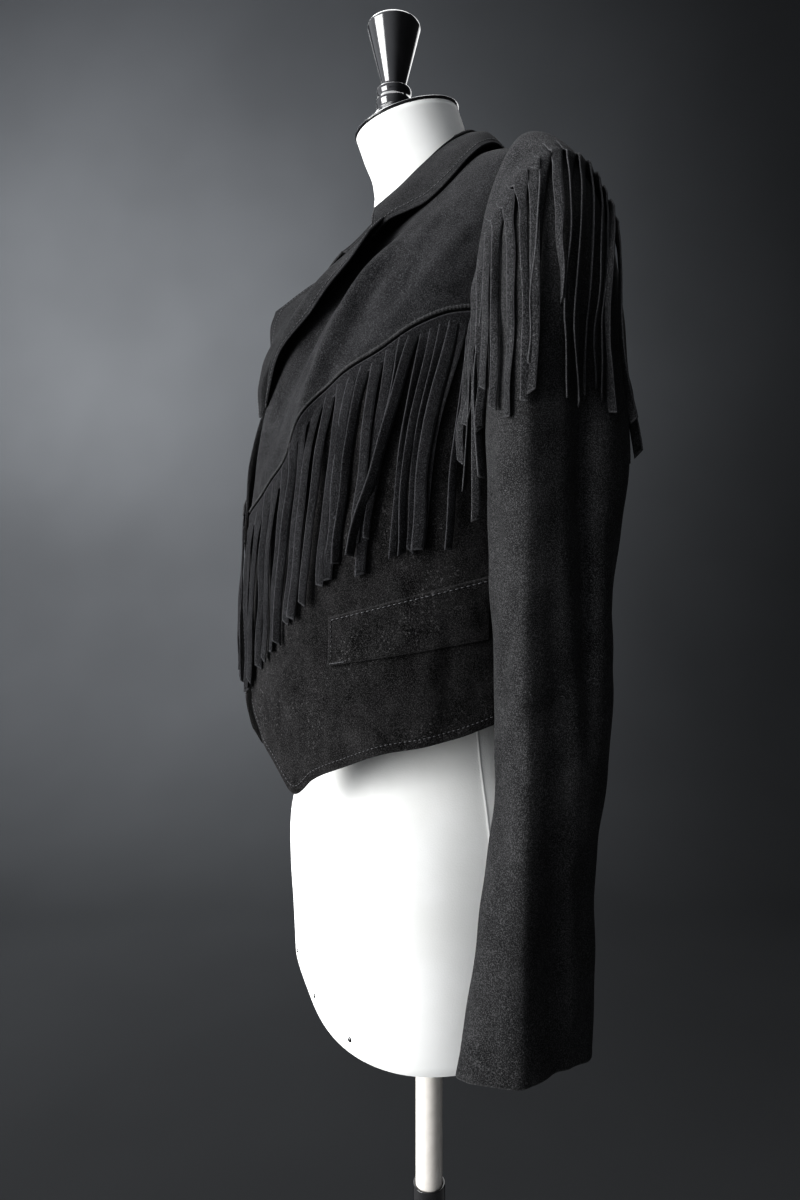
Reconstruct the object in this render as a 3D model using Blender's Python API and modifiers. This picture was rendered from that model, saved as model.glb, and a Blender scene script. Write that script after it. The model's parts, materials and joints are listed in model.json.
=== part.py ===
"""A fringed suede jacket, open at the front, on a limbless dress form with its stand.

Metres, +Z up. The form faces -Y, the wearer's left is +X, and the stand's base rests on z = 0
with its centre at the origin. Every cloth piece is a wall, lofted as two skins that share the
garment's own normals, so that neighbours keep an even gap along their seams.
"""
from collections import namedtuple
from math import cos, degrees, pi, radians, sin

import bpy
import numpy as np

# ---------------------------------------------------------------- driving dimensions
WALL = 0.0020               # suede, with its turned seam allowance
SEAM_GAP = 0.0003           # between pieces that touch
SEAM_PLAY = 0.0002          # a little more than that, where curved pieces meet
STRIP_WALL = 0.0015         # the cut strips that carry the fringe
FLAP_WALL = 0.0022
PIPING_RADIUS = 0.0015

# The garment's girths. middle is where each section is widest, as Y; depths run from there.
Girth = namedtuple("Girth", "height half_width front back middle")
JACKET = (
    Girth(1.000, 0.185, 0.1610, 0.120, 0.000),
    Girth(1.120, 0.186, 0.1655, 0.122, 0.000),
    Girth(1.200, 0.188, 0.1665, 0.126, 0.000),
    Girth(1.270, 0.189, 0.1655, 0.131, 0.000),
    Girth(1.340, 0.188, 0.1575, 0.134, 0.000),
    Girth(1.400, 0.184, 0.1420, 0.131, 0.002),
    Girth(1.450, 0.180, 0.1190, 0.116, 0.006),
    Girth(1.490, 0.176, 0.0880, 0.092, 0.013),
    Girth(1.520, 0.167, 0.0660, 0.067, 0.021),
    Girth(1.545, 0.152, 0.0500, 0.043, 0.027),
    Girth(1.562, 0.119, 0.0420, 0.031, 0.030),
    Girth(1.575, 0.078, 0.0370, 0.024, 0.031),
)

# The front edge, which turns into the lapel's roll line above the break.
FrontEdge = namedtuple("FrontEdge", "height x")
FRONT_EDGE = (
    FrontEdge(1.050, 0.0220),
    FrontEdge(1.270, 0.0220),
    FrontEdge(1.350, 0.0230),
    FrontEdge(1.420, 0.0340),
    FrontEdge(1.480, 0.0460),
    FrontEdge(1.520, 0.0550),
    FrontEdge(1.545, 0.0620),
    FrontEdge(1.562, 0.0690),
    FrontEdge(1.575, 0.0780),
)

# The slanting seam across the chest. turn is in degrees from centre front to the side.
SeamPoint = namedtuple("SeamPoint", "turn height")
YOKE_SEAM = (
    SeamPoint(6.0, 1.268),
    SeamPoint(9.0, 1.273),
    SeamPoint(15.0, 1.283),
    SeamPoint(21.0, 1.295),
    SeamPoint(26.0, 1.306),
    SeamPoint(30.0, 1.320),
    SeamPoint(33.5, 1.339),
    SeamPoint(37.0, 1.354),
    SeamPoint(42.0, 1.366),
    SeamPoint(47.0, 1.375),
    SeamPoint(55.0, 1.387),
    SeamPoint(62.0, 1.400),
    SeamPoint(70.0, 1.409),
    SeamPoint(79.0, 1.412),
)

# The cut-away hem, from the front edge to the side seam and on to centre back.
HEM = (
    SeamPoint(6.8, 1.112),
    SeamPoint(11.5, 1.098),
    SeamPoint(16.0, 1.083),
    SeamPoint(23.0, 1.068),
    SeamPoint(31.0, 1.052),
    SeamPoint(37.5, 1.066),
    SeamPoint(48.5, 1.081),
    SeamPoint(58.0, 1.092),
    SeamPoint(68.0, 1.098),
    SeamPoint(77.0, 1.105),
    SeamPoint(90.0, 1.117),
    SeamPoint(120.0, 1.125),
    SeamPoint(180.0, 1.128),
)

SHOULDER_TOP = JACKET[-1].height
ARMHOLE_MIDDLE = 1.450
ARMHOLE_RISE = 0.095
ARMHOLE_FRONT = 7.5        # degrees of turn that the armhole reaches to the front
ARMHOLE_BACK = 24.0

# The sleeve's rings, from the armhole down: the outermost and innermost points, and its depth.
Ring = namedtuple("Ring", "outer_x outer_z inner_x inner_z front back")
SLEEVE = (
    Ring(0.196, 1.5330, 0.1925, 1.346, -0.0250, 0.0520),
    Ring(0.222, 1.5185, 0.1950, 1.338, -0.0270, 0.0565),
    Ring(0.246, 1.4930, 0.1965, 1.328, -0.0295, 0.0610),
    Ring(0.263, 1.4470, 0.1975, 1.315, -0.0320, 0.0635),
    Ring(0.272, 1.3850, 0.1985, 1.298, -0.0340, 0.0650),
    Ring(0.274, 1.3220, 0.1990, 1.275, -0.0350, 0.0635),
    Ring(0.273, 1.262, 0.2000, 1.245, -0.0345, 0.0580),
    Ring(0.272, 1.205, 0.2005, 1.205, -0.0330, 0.0540),
    Ring(0.270, 1.145, 0.2015, 1.145, -0.0290, 0.0498),
    Ring(0.268, 1.090, 0.2028, 1.090, -0.0285, 0.0462),
    Ring(0.265, 1.030, 0.2040, 1.030, -0.0355, 0.0418),
    Ring(0.264, 0.970, 0.2050, 0.970, -0.0430, 0.0400),
    Ring(0.263, 0.902, 0.2070, 0.894, -0.0565, 0.0412),
)
SLEEVE_SIDES = 24           # the armhole's edges are cut at the same places

# The largest fold of the sleeve: a trough that runs from the fringe down to the elbow.
FOLD_DEPTH = 0.0060
FOLD_WIDTH = 13.0           # degrees round the sleeve
FOLD_TOP_TURN = -6.0
FOLD_LOW_TURN = -24.0
FOLD_TOP = 1.400
FOLD_LOW = 1.130

# The lapel: its outer edge, and how far that edge stands off the chest.
LapelEdge = namedtuple("LapelEdge", "height x stand_off")
LAPEL = (
    LapelEdge(1.360, 0.0280, 0.0035),
    LapelEdge(1.373, 0.0360, 0.0048),
    LapelEdge(1.395, 0.0480, 0.0075),
    LapelEdge(1.411, 0.0600, 0.0105),
    LapelEdge(1.430, 0.0740, 0.0110),
    LapelEdge(1.452, 0.0840, 0.0110),
    LapelEdge(1.470, 0.0895, 0.0105),
    LapelEdge(1.482, 0.0905, 0.0100),
)
LAPEL_RIBS = 9
LAPEL_LINES = 7
LAPEL_TOP_SLANT = 0.0290    # how much higher its top is at the roll than at the tip
LAPEL_LIFT = 0.0036         # how far the roll clears the chest where it doesn't bulge
LAPEL_SWELL_FROM = 0.06     # the bulge is the part of a half wave from here
LAPEL_SWELL_SPAN = 0.86     # over this much of it
LAPEL_MIDDLE_ROUND = 0.0015
FLARE_POWER = 2.2           # a flare grows with this power of the height
FLARE_DROP = 0.55           # how far a flared edge sinks for its lift
LAPEL_ROLL = 0.0075         # how far the roll bulges in front of the chest
RIGHT_LAPEL_FLARE = 0.0340  # the wearer's right lapel stands further forward

# The collar from its front end (station 0) to centre back (station 1).
CollarRib = namedtuple("CollarRib", "station seam_height roll_x roll_y roll_z"
                       " edge_x edge_y edge_z")
COLLAR = (
    CollarRib(0.00, 1.515, 0.0540, -0.0630, 1.5300, 0.0780, -0.0756, 1.4980),
    CollarRib(0.20, 1.530, 0.0580, -0.0440, 1.5480, 0.0880, -0.0616, 1.5075),
    CollarRib(0.35, 1.545, 0.0590, -0.0290, 1.5640, 0.0980, -0.0478, 1.5128),
    CollarRib(0.50, 1.562, 0.0590, -0.0110, 1.5820, 0.1070, -0.0339, 1.5200),
    CollarRib(0.60, 1.575, 0.0580, 0.0015, 1.5930, 0.1130, -0.0193, 1.5352),
    CollarRib(0.68, 1.575, 0.0550, 0.0120, 1.6010, 0.1130, -0.0023, 1.5554),
    CollarRib(0.75, 1.575, 0.0500, 0.0210, 1.6075, 0.1080, 0.0125, 1.5686),
    CollarRib(0.82, 1.575, 0.0430, 0.0300, 1.6120, 0.0950, 0.0300, 1.5775),
    CollarRib(0.90, 1.575, 0.0280, 0.0395, 1.6150, 0.0650, 0.0570, 1.5770),
    CollarRib(1.00, 1.575, 0.0000, 0.0470, 1.6160, 0.0000, 0.0730, 1.5720),
)
COLLAR_RIBS = 11
COLLAR_LINES = 9
COLLAR_ROLL = 0.0036        # half the thickness of the roll
COLLAR_ROUND = 0.0030       # how far the fall bulges half way down
COLLAR_BACK_STATION = 0.6   # past this its seam runs along the top of the back
COLLAR_FLARE_STATION = 0.4  # up to this its right end stands forward
COLLAR_FLARE_POWER = 1.5
RIGHT_COLLAR_FLARE = 0.0120

# The pocket flap on each lower front.
FLAP_FRONT_TURN = 44.3
FLAP_BACK_TURN = 84.5
FLAP_TOP_FRONT = 1.190
FLAP_TOP_BACK = 1.221
FLAP_TALL_FRONT = 0.036
FLAP_TALL_BACK = 0.045

# Fringe.
YOKE_STRANDS = 28
YOKE_BAND = 0.012
YOKE_FRINGE_LONG = 0.168    # from the seam, at the side
YOKE_FRINGE_SHORT = 0.152   # at the front edge
YOKE_FALL = np.array([0.12, 0.42, 0.74, 1.0])        # a strand's levels, as shares of its length
YOKE_SWAY = 0.5             # degrees that a strand's tip swings aside
YOKE_LIFT = 0.0012          # how far the strands clear the cloth, and how far their tips add
YOKE_LIFT_LOW = 0.0022
YOKE_LAYER_LOW = 0.0022     # every second strand lies this much over its neighbours
YOKE_LENGTH_PLAY = 0.03     # share of its length that a strand is longer or shorter
YOKE_REACH = 0.172          # the radius that turns a strand's degrees into its width
YOKE_TAPER = 0.22
YOKE_TWIST = 0.35
ARM_STRANDS = 26
ARM_FRONT_TURN = 108.0      # the strip runs round the armhole between these turns
ARM_BACK_TURN = -104.0
ARM_FALL = np.array([0.07, 0.20, 0.42, 0.72, 1.0])
ARM_STRIP_START = 0.16      # in rings along the sleeve
ARM_STRAND_WIDTH = 0.0070
ARM_LIFT = 0.0016
ARM_LIFT_LOW = 0.0008
ARM_LAYER_LOW = 0.0014
ARM_TAPER = 0.20
ARM_TWIST = 0.30
ARM_TIP_PLAY = 0.004
STRAND_FILL = 0.74          # share of its pitch that a strand takes
STRAND_CLEAR = 0.0045       # half a strand's width and some play
HEAD_PLAY = 0.0023          # the strip's extra lift over the flats of the sleeve head
HANG_FREE_FRONT = 56.0      # past these turns a strand hangs before or behind the sleeve
HANG_FREE_BACK = 66.0
# How low the armhole's strands hang, by their turn round the armhole; and where the ones at the
# front and the back hang, from the first of them (share 0) to the one nearest the body (share 1).
Tip = namedtuple("Tip", "turn height")
ARM_TIPS = (
    Tip(-110.0, 1.290),
    Tip(-80.0, 1.305),
    Tip(-40.0, 1.325),
    Tip(0.0, 1.331),
    Tip(30.0, 1.331),
    Tip(60.0, 1.324),
    Tip(75.0, 1.300),
    Tip(90.0, 1.276),
    Tip(110.0, 1.262),
)
Hang = namedtuple("Hang", "share x y")
FRONT_HANG = (
    Hang(0.0, 0.2630, -0.0290),
    Hang(0.3, 0.2450, -0.0365),
    Hang(0.7, 0.2180, -0.0375),
    Hang(1.0, 0.2020, -0.0355),
)
BACK_HANG = (
    Hang(0.0, 0.2450, 0.0760),
    Hang(0.5, 0.2280, 0.0820),
    Hang(1.0, 0.2100, 0.0850),
)

# The dress form.
FORM = (
    Girth(0.857, 0.168, 0.1145, 0.108, 0.000),
    Girth(0.900, 0.176, 0.116, 0.113, 0.000),
    Girth(0.950, 0.175, 0.119, 0.116, 0.000),
    Girth(1.000, 0.168, 0.118, 0.114, 0.000),
    Girth(1.050, 0.151, 0.109, 0.102, 0.000),
    Girth(1.100, 0.132, 0.097, 0.090, 0.000),
    Girth(1.150, 0.129, 0.100, 0.089, 0.000),
    Girth(1.200, 0.138, 0.120, 0.095, 0.000),
    Girth(1.240, 0.146, 0.143, 0.101, 0.000),
    Girth(1.270, 0.150, 0.154, 0.106, 0.000),
    Girth(1.300, 0.152, 0.151, 0.110, 0.000),
    Girth(1.350, 0.153, 0.134, 0.112, 0.001),
    Girth(1.400, 0.154, 0.113, 0.108, 0.002),
    Girth(1.440, 0.154, 0.096, 0.100, 0.005),
)
BELLY_FULLNESS = 0.12       # how much fuller than an oval it is between its front and its sides
BELLY_FULL_UP_TO = 0.980
BELLY_EVEN_FROM = 1.120
FORM_REST_GAP = 0.0014      # between the form's smooth shoulders and the cloth's inner skin
FORM_SIDES = 32
FORM_LEVELS = 14
FORM_REST_LOW = 1.470        # above this the cloth lies on the form
FORM_REST_TOP = 1.5650
FORM_REST_LEVELS = 10
NECK_FOOT_FLARE = 0.35      # how the neck spreads downward into the chest
NECK_FOOT_POWER = 1.3
NECK_JOIN = 20
# Rings that lean forward, lowest first: the neck's, and those of the cap's plate and seat on it.
LeaningRing = namedtuple("LeaningRing", "height y radius lean")
NECK = (
    LeaningRing(1.5670, 0.0000, 0.0500, 3.0),
    LeaningRing(1.5860, -0.0040, 0.0490, 6.0),
    LeaningRing(1.6060, -0.0120, 0.0486, 12.0),
    LeaningRing(1.6300, -0.0210, 0.0483, 17.0),
)
CAP = (
    LeaningRing(1.6303, -0.0211, 0.0486, 17.0),
    LeaningRing(1.6312, -0.0214, 0.0494, 17.0),
    LeaningRing(1.6326, -0.0218, 0.0488, 17.0),
    LeaningRing(1.6350, -0.0228, 0.0420, 16.0),
    LeaningRing(1.6382, -0.0262, 0.0290, 11.0),
    LeaningRing(1.6405, -0.0312, 0.0190, 4.0),
    LeaningRing(1.6420, -0.0335, 0.0162, 0.0),
)

# The finial, turned, from its top down.
Turned = namedtuple("Turned", "radius height")
FINIAL_Y = -0.0335
FINIAL_BASE = CAP[-1].height + SEAM_GAP
FINIAL = (
    Turned(0.0000, 0.0802),
    Turned(0.0130, 0.0800),
    Turned(0.0195, 0.0792),
    Turned(0.0228, 0.0776),
    Turned(0.0240, 0.0750),
    Turned(0.0234, 0.0718),
    Turned(0.0110, 0.0225),
    Turned(0.0120, 0.0205),
    Turned(0.0152, 0.0180),
    Turned(0.0158, 0.0150),
    Turned(0.0148, 0.0108),
    Turned(0.0165, 0.0060),
    Turned(0.0150, 0.0000),
    Turned(0.0000, 0.0000),
)

POLE_RADIUS = 0.0125
POLE_LOW = 0.4000
TUBE_RADIUS = 0.0150
TUBE_BORE = 0.0129
TUBE_TOP = 0.6570
BASE = (
    Turned(0.0000, 0.0237),
    Turned(0.0300, 0.0237),
    Turned(0.0340, 0.0140),
    Turned(0.1840, 0.0120),
    Turned(0.1900, 0.0070),
    Turned(0.1900, 0.0000),
    Turned(0.0000, 0.0000),
)
TUBE_FOOT = BASE[0].height + SEAM_GAP
TURNED_STEPS = 24

SUEDE = (0.030, 0.030, 0.033, 1.0)
SUEDE_ROUGH = 0.95
COAT_WHITE = (0.82, 0.82, 0.80, 1.0)
GLOSS_BLACK = (0.010, 0.010, 0.011, 1.0)
CREAM = (0.74, 0.71, 0.66, 1.0)


# ---------------------------------------------------------------- reading the tables
def ease(rows, column, at):
    """A smooth curve through one column of a table, read at places along its first column."""
    places = np.array([row[0] for row in rows])
    values = np.array([getattr(row, column) for row in rows])
    slopes = np.gradient(values, places)
    at = np.clip(at, places[0], places[-1])
    i = np.clip(np.searchsorted(places, at) - 1, 0, len(rows) - 2)
    span = places[i + 1] - places[i]
    t = (at - places[i]) / span
    return ((2 * t**3 - 3 * t**2 + 1) * values[i] + (t**3 - 2 * t**2 + t) * span * slopes[i]
            + (3 * t**2 - 2 * t**3) * values[i + 1] + (t**3 - t**2) * span * slopes[i + 1])


def unit(vectors):
    """The same vectors, one metre long."""
    return vectors / np.linalg.norm(vectors, axis=-1, keepdims=True)


def girth_point(rows, turn, height):
    """A point of a body given by its girths: turn in degrees from centre front to the left."""
    angle = np.radians(turn)
    depth = np.where(np.cos(angle) > 0, ease(rows, "front", height), ease(rows, "back", height))
    x = ease(rows, "half_width", height) * np.sin(angle)
    y = ease(rows, "middle", height) - depth * np.cos(angle)
    return np.stack([x, y, height + 0 * angle], axis=-1)


def girth_normal(rows, turn, height):
    """The outward direction at that point."""
    across = girth_point(rows, turn + 0.4, height) - girth_point(rows, turn - 0.4, height)
    low = np.clip(height - 0.0008, rows[0].height, rows[-1].height)
    high = np.clip(height + 0.0008, rows[0].height, rows[-1].height)
    up = girth_point(rows, turn, high) - girth_point(rows, turn, low)
    return unit(np.cross(across, up))


def cloth(turn, height, out=0.0):
    """A point of the jacket's outer surface, moved out of it."""
    turn, height = np.broadcast_arrays(np.asarray(turn, float), np.asarray(height, float))
    return girth_point(JACKET, turn, height) + np.asarray(out)[..., None] * girth_normal(
        JACKET, turn, height)


def edge_turn(height):
    """Where the front edge, or the roll line above it, runs at a height."""
    share = ease(FRONT_EDGE, "x", height) / ease(JACKET, "half_width", height)
    return np.degrees(np.arcsin(np.clip(share, 0, 1)))


def armhole(ring_turn, shrink=1.0):
    """The armhole on the jacket's surface: 0 is its top, 90 its front and 180 its foot."""
    angle = np.radians(ring_turn)
    height = ARMHOLE_MIDDLE + shrink * ARMHOLE_RISE * np.cos(angle)
    reach = np.where(np.sin(angle) > 0, -ARMHOLE_FRONT, ARMHOLE_BACK)
    turn = 90 + shrink * reach * np.abs(np.sin(angle)) * (1 - 0.3 * np.cos(angle))
    return turn, height


# ---------------------------------------------------------------- making objects
def material(name, colour, roughness, metallic=0.0):
    """A plain finish."""
    made = bpy.data.materials.new(name)
    made.use_nodes = True
    shader = made.node_tree.nodes["Principled BSDF"]
    shader.inputs["Base Color"].default_value = colour
    shader.inputs["Roughness"].default_value = roughness
    shader.inputs["Metallic"].default_value = metallic
    return made


def place(name, mesh, finish):
    """Adds a named object with its own material to the object's collection."""
    thing = bpy.data.objects.new(name, mesh)
    mesh.materials.append(material(name, *finish))
    PARTS.objects.link(thing)
    return thing


def solid(name, points, faces, finish, mirrored=False):
    """A closed body from its corners and faces. A mirrored one has its faces turned."""
    points = np.asarray(points, float)
    if mirrored:
        points = points * np.array([-1.0, 1.0, 1.0])
        faces = [tuple(reversed(face)) for face in faces]
    mesh = bpy.data.meshes.new(name)
    mesh.from_pydata([tuple(p) for p in points], [], faces)
    mesh.shade_smooth()
    mesh.set_sharp_from_angle(angle=radians(40))
    return place(name, mesh, finish)


def wall(name, outer, normals, thickness, finish, mirrored=False, round_it=False):
    """A wall between an outer skin and the same skin moved in.

    outer and normals have a row for each level, upward, and a column for each place across.
    round_it joins the last column to the first, which makes a tube with open ends.
    """
    rows, columns = outer.shape[:2]
    points = np.concatenate([outer.reshape(-1, 3), (outer - thickness * normals).reshape(-1, 3)])
    inner = rows * columns
    faces = []
    across = columns if round_it else columns - 1
    for r in range(rows - 1):
        for c in range(across):
            d = (c + 1) % columns
            a, b, e, f = r * columns + c, r * columns + d, (r + 1) * columns + d, (r + 1) * columns + c
            faces.append((a, b, e, f))
            faces.append((inner + f, inner + e, inner + b, inner + a))
    for c in range(across):
        d = (c + 1) % columns
        top = (rows - 1) * columns
        faces.append((inner + c, inner + d, d, c))
        faces.append((top + c, top + d, inner + top + d, inner + top + c))
    if not round_it:
        last = columns - 1
        for r in range(rows - 1):
            low, high = r * columns, (r + 1) * columns
            faces.append((low, high, inner + high, inner + low))
            faces.append((inner + low + last, inner + high + last, high + last, low + last))
    return solid(name, points, faces, finish, mirrored)


def patch(bottom, top, left, right, columns, rows):
    """Places inside four edge curves, each a function from 0..1 to (turn, height)."""
    s, t = np.meshgrid(columns, rows)
    corner = [[bottom(0.0), bottom(1.0)], [top(0.0), top(1.0)]]
    made = []
    for k in range(2):
        value = (1 - t) * bottom(s)[k] + t * top(s)[k] + (1 - s) * left(t)[k] + s * right(t)[k]
        value = value - ((1 - s) * (1 - t) * corner[0][0][k] + s * (1 - t) * corner[0][1][k]
                         + (1 - s) * t * corner[1][0][k] + s * t * corner[1][1][k])
        made.append(value)
    return made


def panel(name, turn, height, mirrored=False):
    """A jacket panel over a net of places."""
    normals = girth_normal(JACKET, turn, height)
    return wall(name, girth_point(JACKET, turn, height), normals, WALL, SUEDE_FINISH, mirrored)


# ---------------------------------------------------------------- the jacket's body
SEAM_COLUMNS = 10           # corners along the chest seam, and along each shoulder seam
HALF_GAP = SEAM_GAP / 2
HALF_GAP_TURN = degrees(HALF_GAP / 0.18)


def yoke_seam(turn):
    """The height of the chest seam at a turn."""
    return ease(YOKE_SEAM, "height", turn)


def seam_end():
    """Where the chest seam runs into the armhole, as a turn round the armhole ring."""
    ring = np.linspace(90, 130, 401)
    turn, height = armhole(ring)
    return float(ring[np.argmin(np.abs(height - yoke_seam(turn)))])


def ring_places(low, high):
    """Places round the armhole where both the sleeve and the panels have a corner."""
    step = 360 / SLEEVE_SIDES
    return [step * k for k in range(SLEEVE_SIDES + 1) if low < step * k < high]


def front_yoke(name, mirrored):
    """From the chest seam up to the shoulder seam."""
    meet = seam_end()
    side_turn, _ = armhole(meet)
    start_turn = float(edge_turn(np.array(YOKE_SEAM[0].height)))
    shoulder_end = float(armhole(0.0)[1])

    def bottom(s):
        turn = start_turn + s * (side_turn - start_turn)
        return turn, yoke_seam(turn) + HALF_GAP

    def left(t):
        height = YOKE_SEAM[0].height + HALF_GAP + t * (SHOULDER_TOP - YOKE_SEAM[0].height - HALF_GAP)
        return edge_turn(height), height

    def right(t):
        turn, height = armhole(meet * (1 - t))
        return turn, height + HALF_GAP * (1 - t)

    def top(s):
        return 90.0 - HALF_GAP_TURN + 0 * s, SHOULDER_TOP + s * (shoulder_end - SHOULDER_TOP)

    rows = 1 - np.array([meet] + ring_places(0.5, meet)[::-1] + [9.5, 4.5, 2.0, 0.0]) / meet
    turn, height = patch(bottom, top, left, right, np.linspace(0, 1, SEAM_COLUMNS), rows)
    return panel(name, np.minimum(turn, 90 - HALF_GAP_TURN), height, mirrored)


def front_lower(name, mirrored):
    """From the cut-away hem up to the chest seam and the foot of the armhole."""
    meet = seam_end()
    side_turn, side_height = armhole(meet)
    start_turn = float(edge_turn(np.array(YOKE_SEAM[0].height)))
    armpit = float(armhole(180.0)[1])
    corner = 0.86           # share of the top edge that the chest seam takes

    def top(s):
        s = np.asarray(s, float)
        turn = start_turn + np.clip(s / corner, 0, 1) * (side_turn - start_turn)
        ring = meet + np.clip((s - corner) / (1 - corner), 0, 1) * (180 - meet)
        arm_turn, arm_height = armhole(ring)
        along_arm = s > corner
        return (np.where(along_arm, arm_turn, turn) - HALF_GAP_TURN * s,
                np.where(along_arm, arm_height, yoke_seam(turn)) - HALF_GAP)

    def bottom(s):
        turn = HEM[0].turn + (90 - HALF_GAP_TURN - HEM[0].turn) * s
        return turn, ease(HEM, "height", turn)

    def left(t):
        height = HEM[0].height + t * (YOKE_SEAM[0].height - HALF_GAP - HEM[0].height)
        share = np.clip(t * 6, 0, 1)
        return HEM[0].turn * (1 - share) + edge_turn(height) * share, height

    def right(t):
        low = float(ease(HEM, "height", 90.0))
        return 90 - HALF_GAP_TURN + 0 * t, low + t * (armpit - HALF_GAP - low)

    past = (np.array(ring_places(meet, 179.5) + [180.0]) - meet) / (180 - meet)
    columns = np.concatenate([np.linspace(0, corner, SEAM_COLUMNS), corner + (1 - corner) * past])
    turn, height = patch(bottom, top, left, right, columns, np.linspace(0, 1, 8))
    return panel(name, turn, height, mirrored)


def back_panel():
    """One panel from side seam to side seam, with both armholes and the neck cut out of it."""
    armpit_row, shoulder_row = 0.44, 0.90
    armpit = float(armhole(180.0)[1])
    shoulder_end = float(armhole(0.0)[1])

    def side(t):
        t = np.asarray(t, float)
        low = float(ease(HEM, "height", 90.0))
        along_side = low + np.clip(t / armpit_row, 0, 1) * (armpit - HALF_GAP - low)
        ring = 180 + np.clip((t - armpit_row) / (shoulder_row - armpit_row), 0, 1) * 180
        arm_turn, arm_height = armhole(ring)
        rise = np.clip((t - shoulder_row) / (1 - shoulder_row), 0, 1)
        along_shoulder = shoulder_end + rise * (SHOULDER_TOP - shoulder_end)
        turn = np.where((t > armpit_row) & (t < shoulder_row), arm_turn, 90.0)
        height = np.where(t <= armpit_row, along_side,
                          np.where(t < shoulder_row, arm_height, along_shoulder))
        return turn + HALF_GAP_TURN, height

    def other_side(t):
        turn, height = side(t)
        return 360 - turn, height

    def bottom(s):
        turn = 90 + HALF_GAP_TURN + s * (180 - 2 * HALF_GAP_TURN)
        return turn, ease(HEM, "height", 180 - np.abs(turn - 180))

    def top(s):
        return 90 + HALF_GAP_TURN + s * (180 - 2 * HALF_GAP_TURN), SHOULDER_TOP + 0 * s

    rows = np.concatenate([np.linspace(0, armpit_row, 5),
                           np.linspace(armpit_row, shoulder_row, SLEEVE_SIDES // 2 + 1)[1:],
                           np.linspace(shoulder_row, 1, SEAM_COLUMNS)[1:]])
    turn, height = patch(bottom, top, side, other_side, np.linspace(0, 1, 15), rows)
    return panel("back", turn, height)


# ---------------------------------------------------------------- sleeves
def sleeve_net(rings=SLEEVE, sides=SLEEVE_SIDES):
    """The sleeve's outer skin from the cuff up, with its outward directions."""
    turn = np.arange(sides) * 360 / sides
    angle = np.radians(turn)
    levels = [girth_point(JACKET, *armhole(turn, shrink=0.9965))]
    for k, ring in enumerate(rings):
        narrow = 1 - 0.26 * max(0.0, 1 - k / 5) * np.cos(angle)
        outer = np.array([ring.outer_x, 0, ring.outer_z])
        inner = np.array([ring.inner_x, 0, ring.inner_z])
        middle = (outer + inner) / 2 + np.array([0, (ring.front + ring.back) / 2, 0])
        level = middle + np.outer(np.cos(angle), (outer - inner) / 2)
        level[:, 1] -= narrow * np.sin(angle) * (ring.back - ring.front) / 2
        levels.append(level)
    return np.array(levels[::-1]), turn


def sleeve_fold(skin, turn):
    """The fold's depth at each point: a trough that drifts backward as it runs down."""
    height = skin[..., 2]
    along = np.clip((FOLD_TOP - height) / (FOLD_TOP - FOLD_LOW), 0, 1)
    line = FOLD_TOP_TURN + along * (FOLD_LOW_TURN - FOLD_TOP_TURN)
    aside = (turn[None, :] - line + 180) % 360 - 180
    reach = np.sin(pi * np.clip(along * 0.9 + 0.05, 0, 1)) * (along > 0) * (along < 1)
    return FOLD_DEPTH * reach * np.exp(-(aside / FOLD_WIDTH) ** 2)


def net_normals(skin):
    """Outward directions of a tube's skin, whose columns run round it."""
    across = np.roll(skin, -1, axis=1) - np.roll(skin, 1, axis=1)
    along = np.gradient(skin, axis=0)
    return unit(np.cross(along, across))


def sleeve(name, mirrored):
    """Set into the armhole, hanging straight with a slight bend at the elbow."""
    skin, turn = sleeve_net()
    normals = net_normals(skin)
    skin = skin - sleeve_fold(skin, turn)[..., None] * normals
    return wall(name, skin[:, ::-1], normals[:, ::-1], WALL, SUEDE_FINISH, mirrored, round_it=True)


# ---------------------------------------------------------------- lapels and collar
def ribbon(name, ribs, thickness, mirrored=False):
    """A wall from cross lines: ribs has a row for each station and a column across it."""
    across = np.gradient(ribs, axis=1)
    along = np.gradient(ribs, axis=0)
    return wall(name, ribs, unit(np.cross(across, along)), thickness, SUEDE_FINISH, mirrored)


def bend(points, steps):
    """A smooth line through a few points, for a whole stack of lines at once."""
    points = np.asarray(points, float)
    count = len(points)
    slopes = np.gradient(points, axis=0)
    at = np.linspace(0, count - 1, steps)
    i = np.clip(at.astype(int), 0, count - 2)
    t = (at - i).reshape((-1,) + (1,) * (points.ndim - 1))
    return ((2 * t**3 - 3 * t**2 + 1) * points[i] + (t**3 - 2 * t**2 + t) * slopes[i]
            + (3 * t**2 - 2 * t**3) * points[i + 1] + (t**3 - t**2) * slopes[i + 1])


def on_chest(x, height, out):
    """A point of the front at a distance from centre front, moved out of the surface."""
    turn = np.degrees(np.arcsin(np.clip(x / ease(JACKET, "half_width", height), 0, 1)))
    return cloth(turn, height, out)


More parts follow.
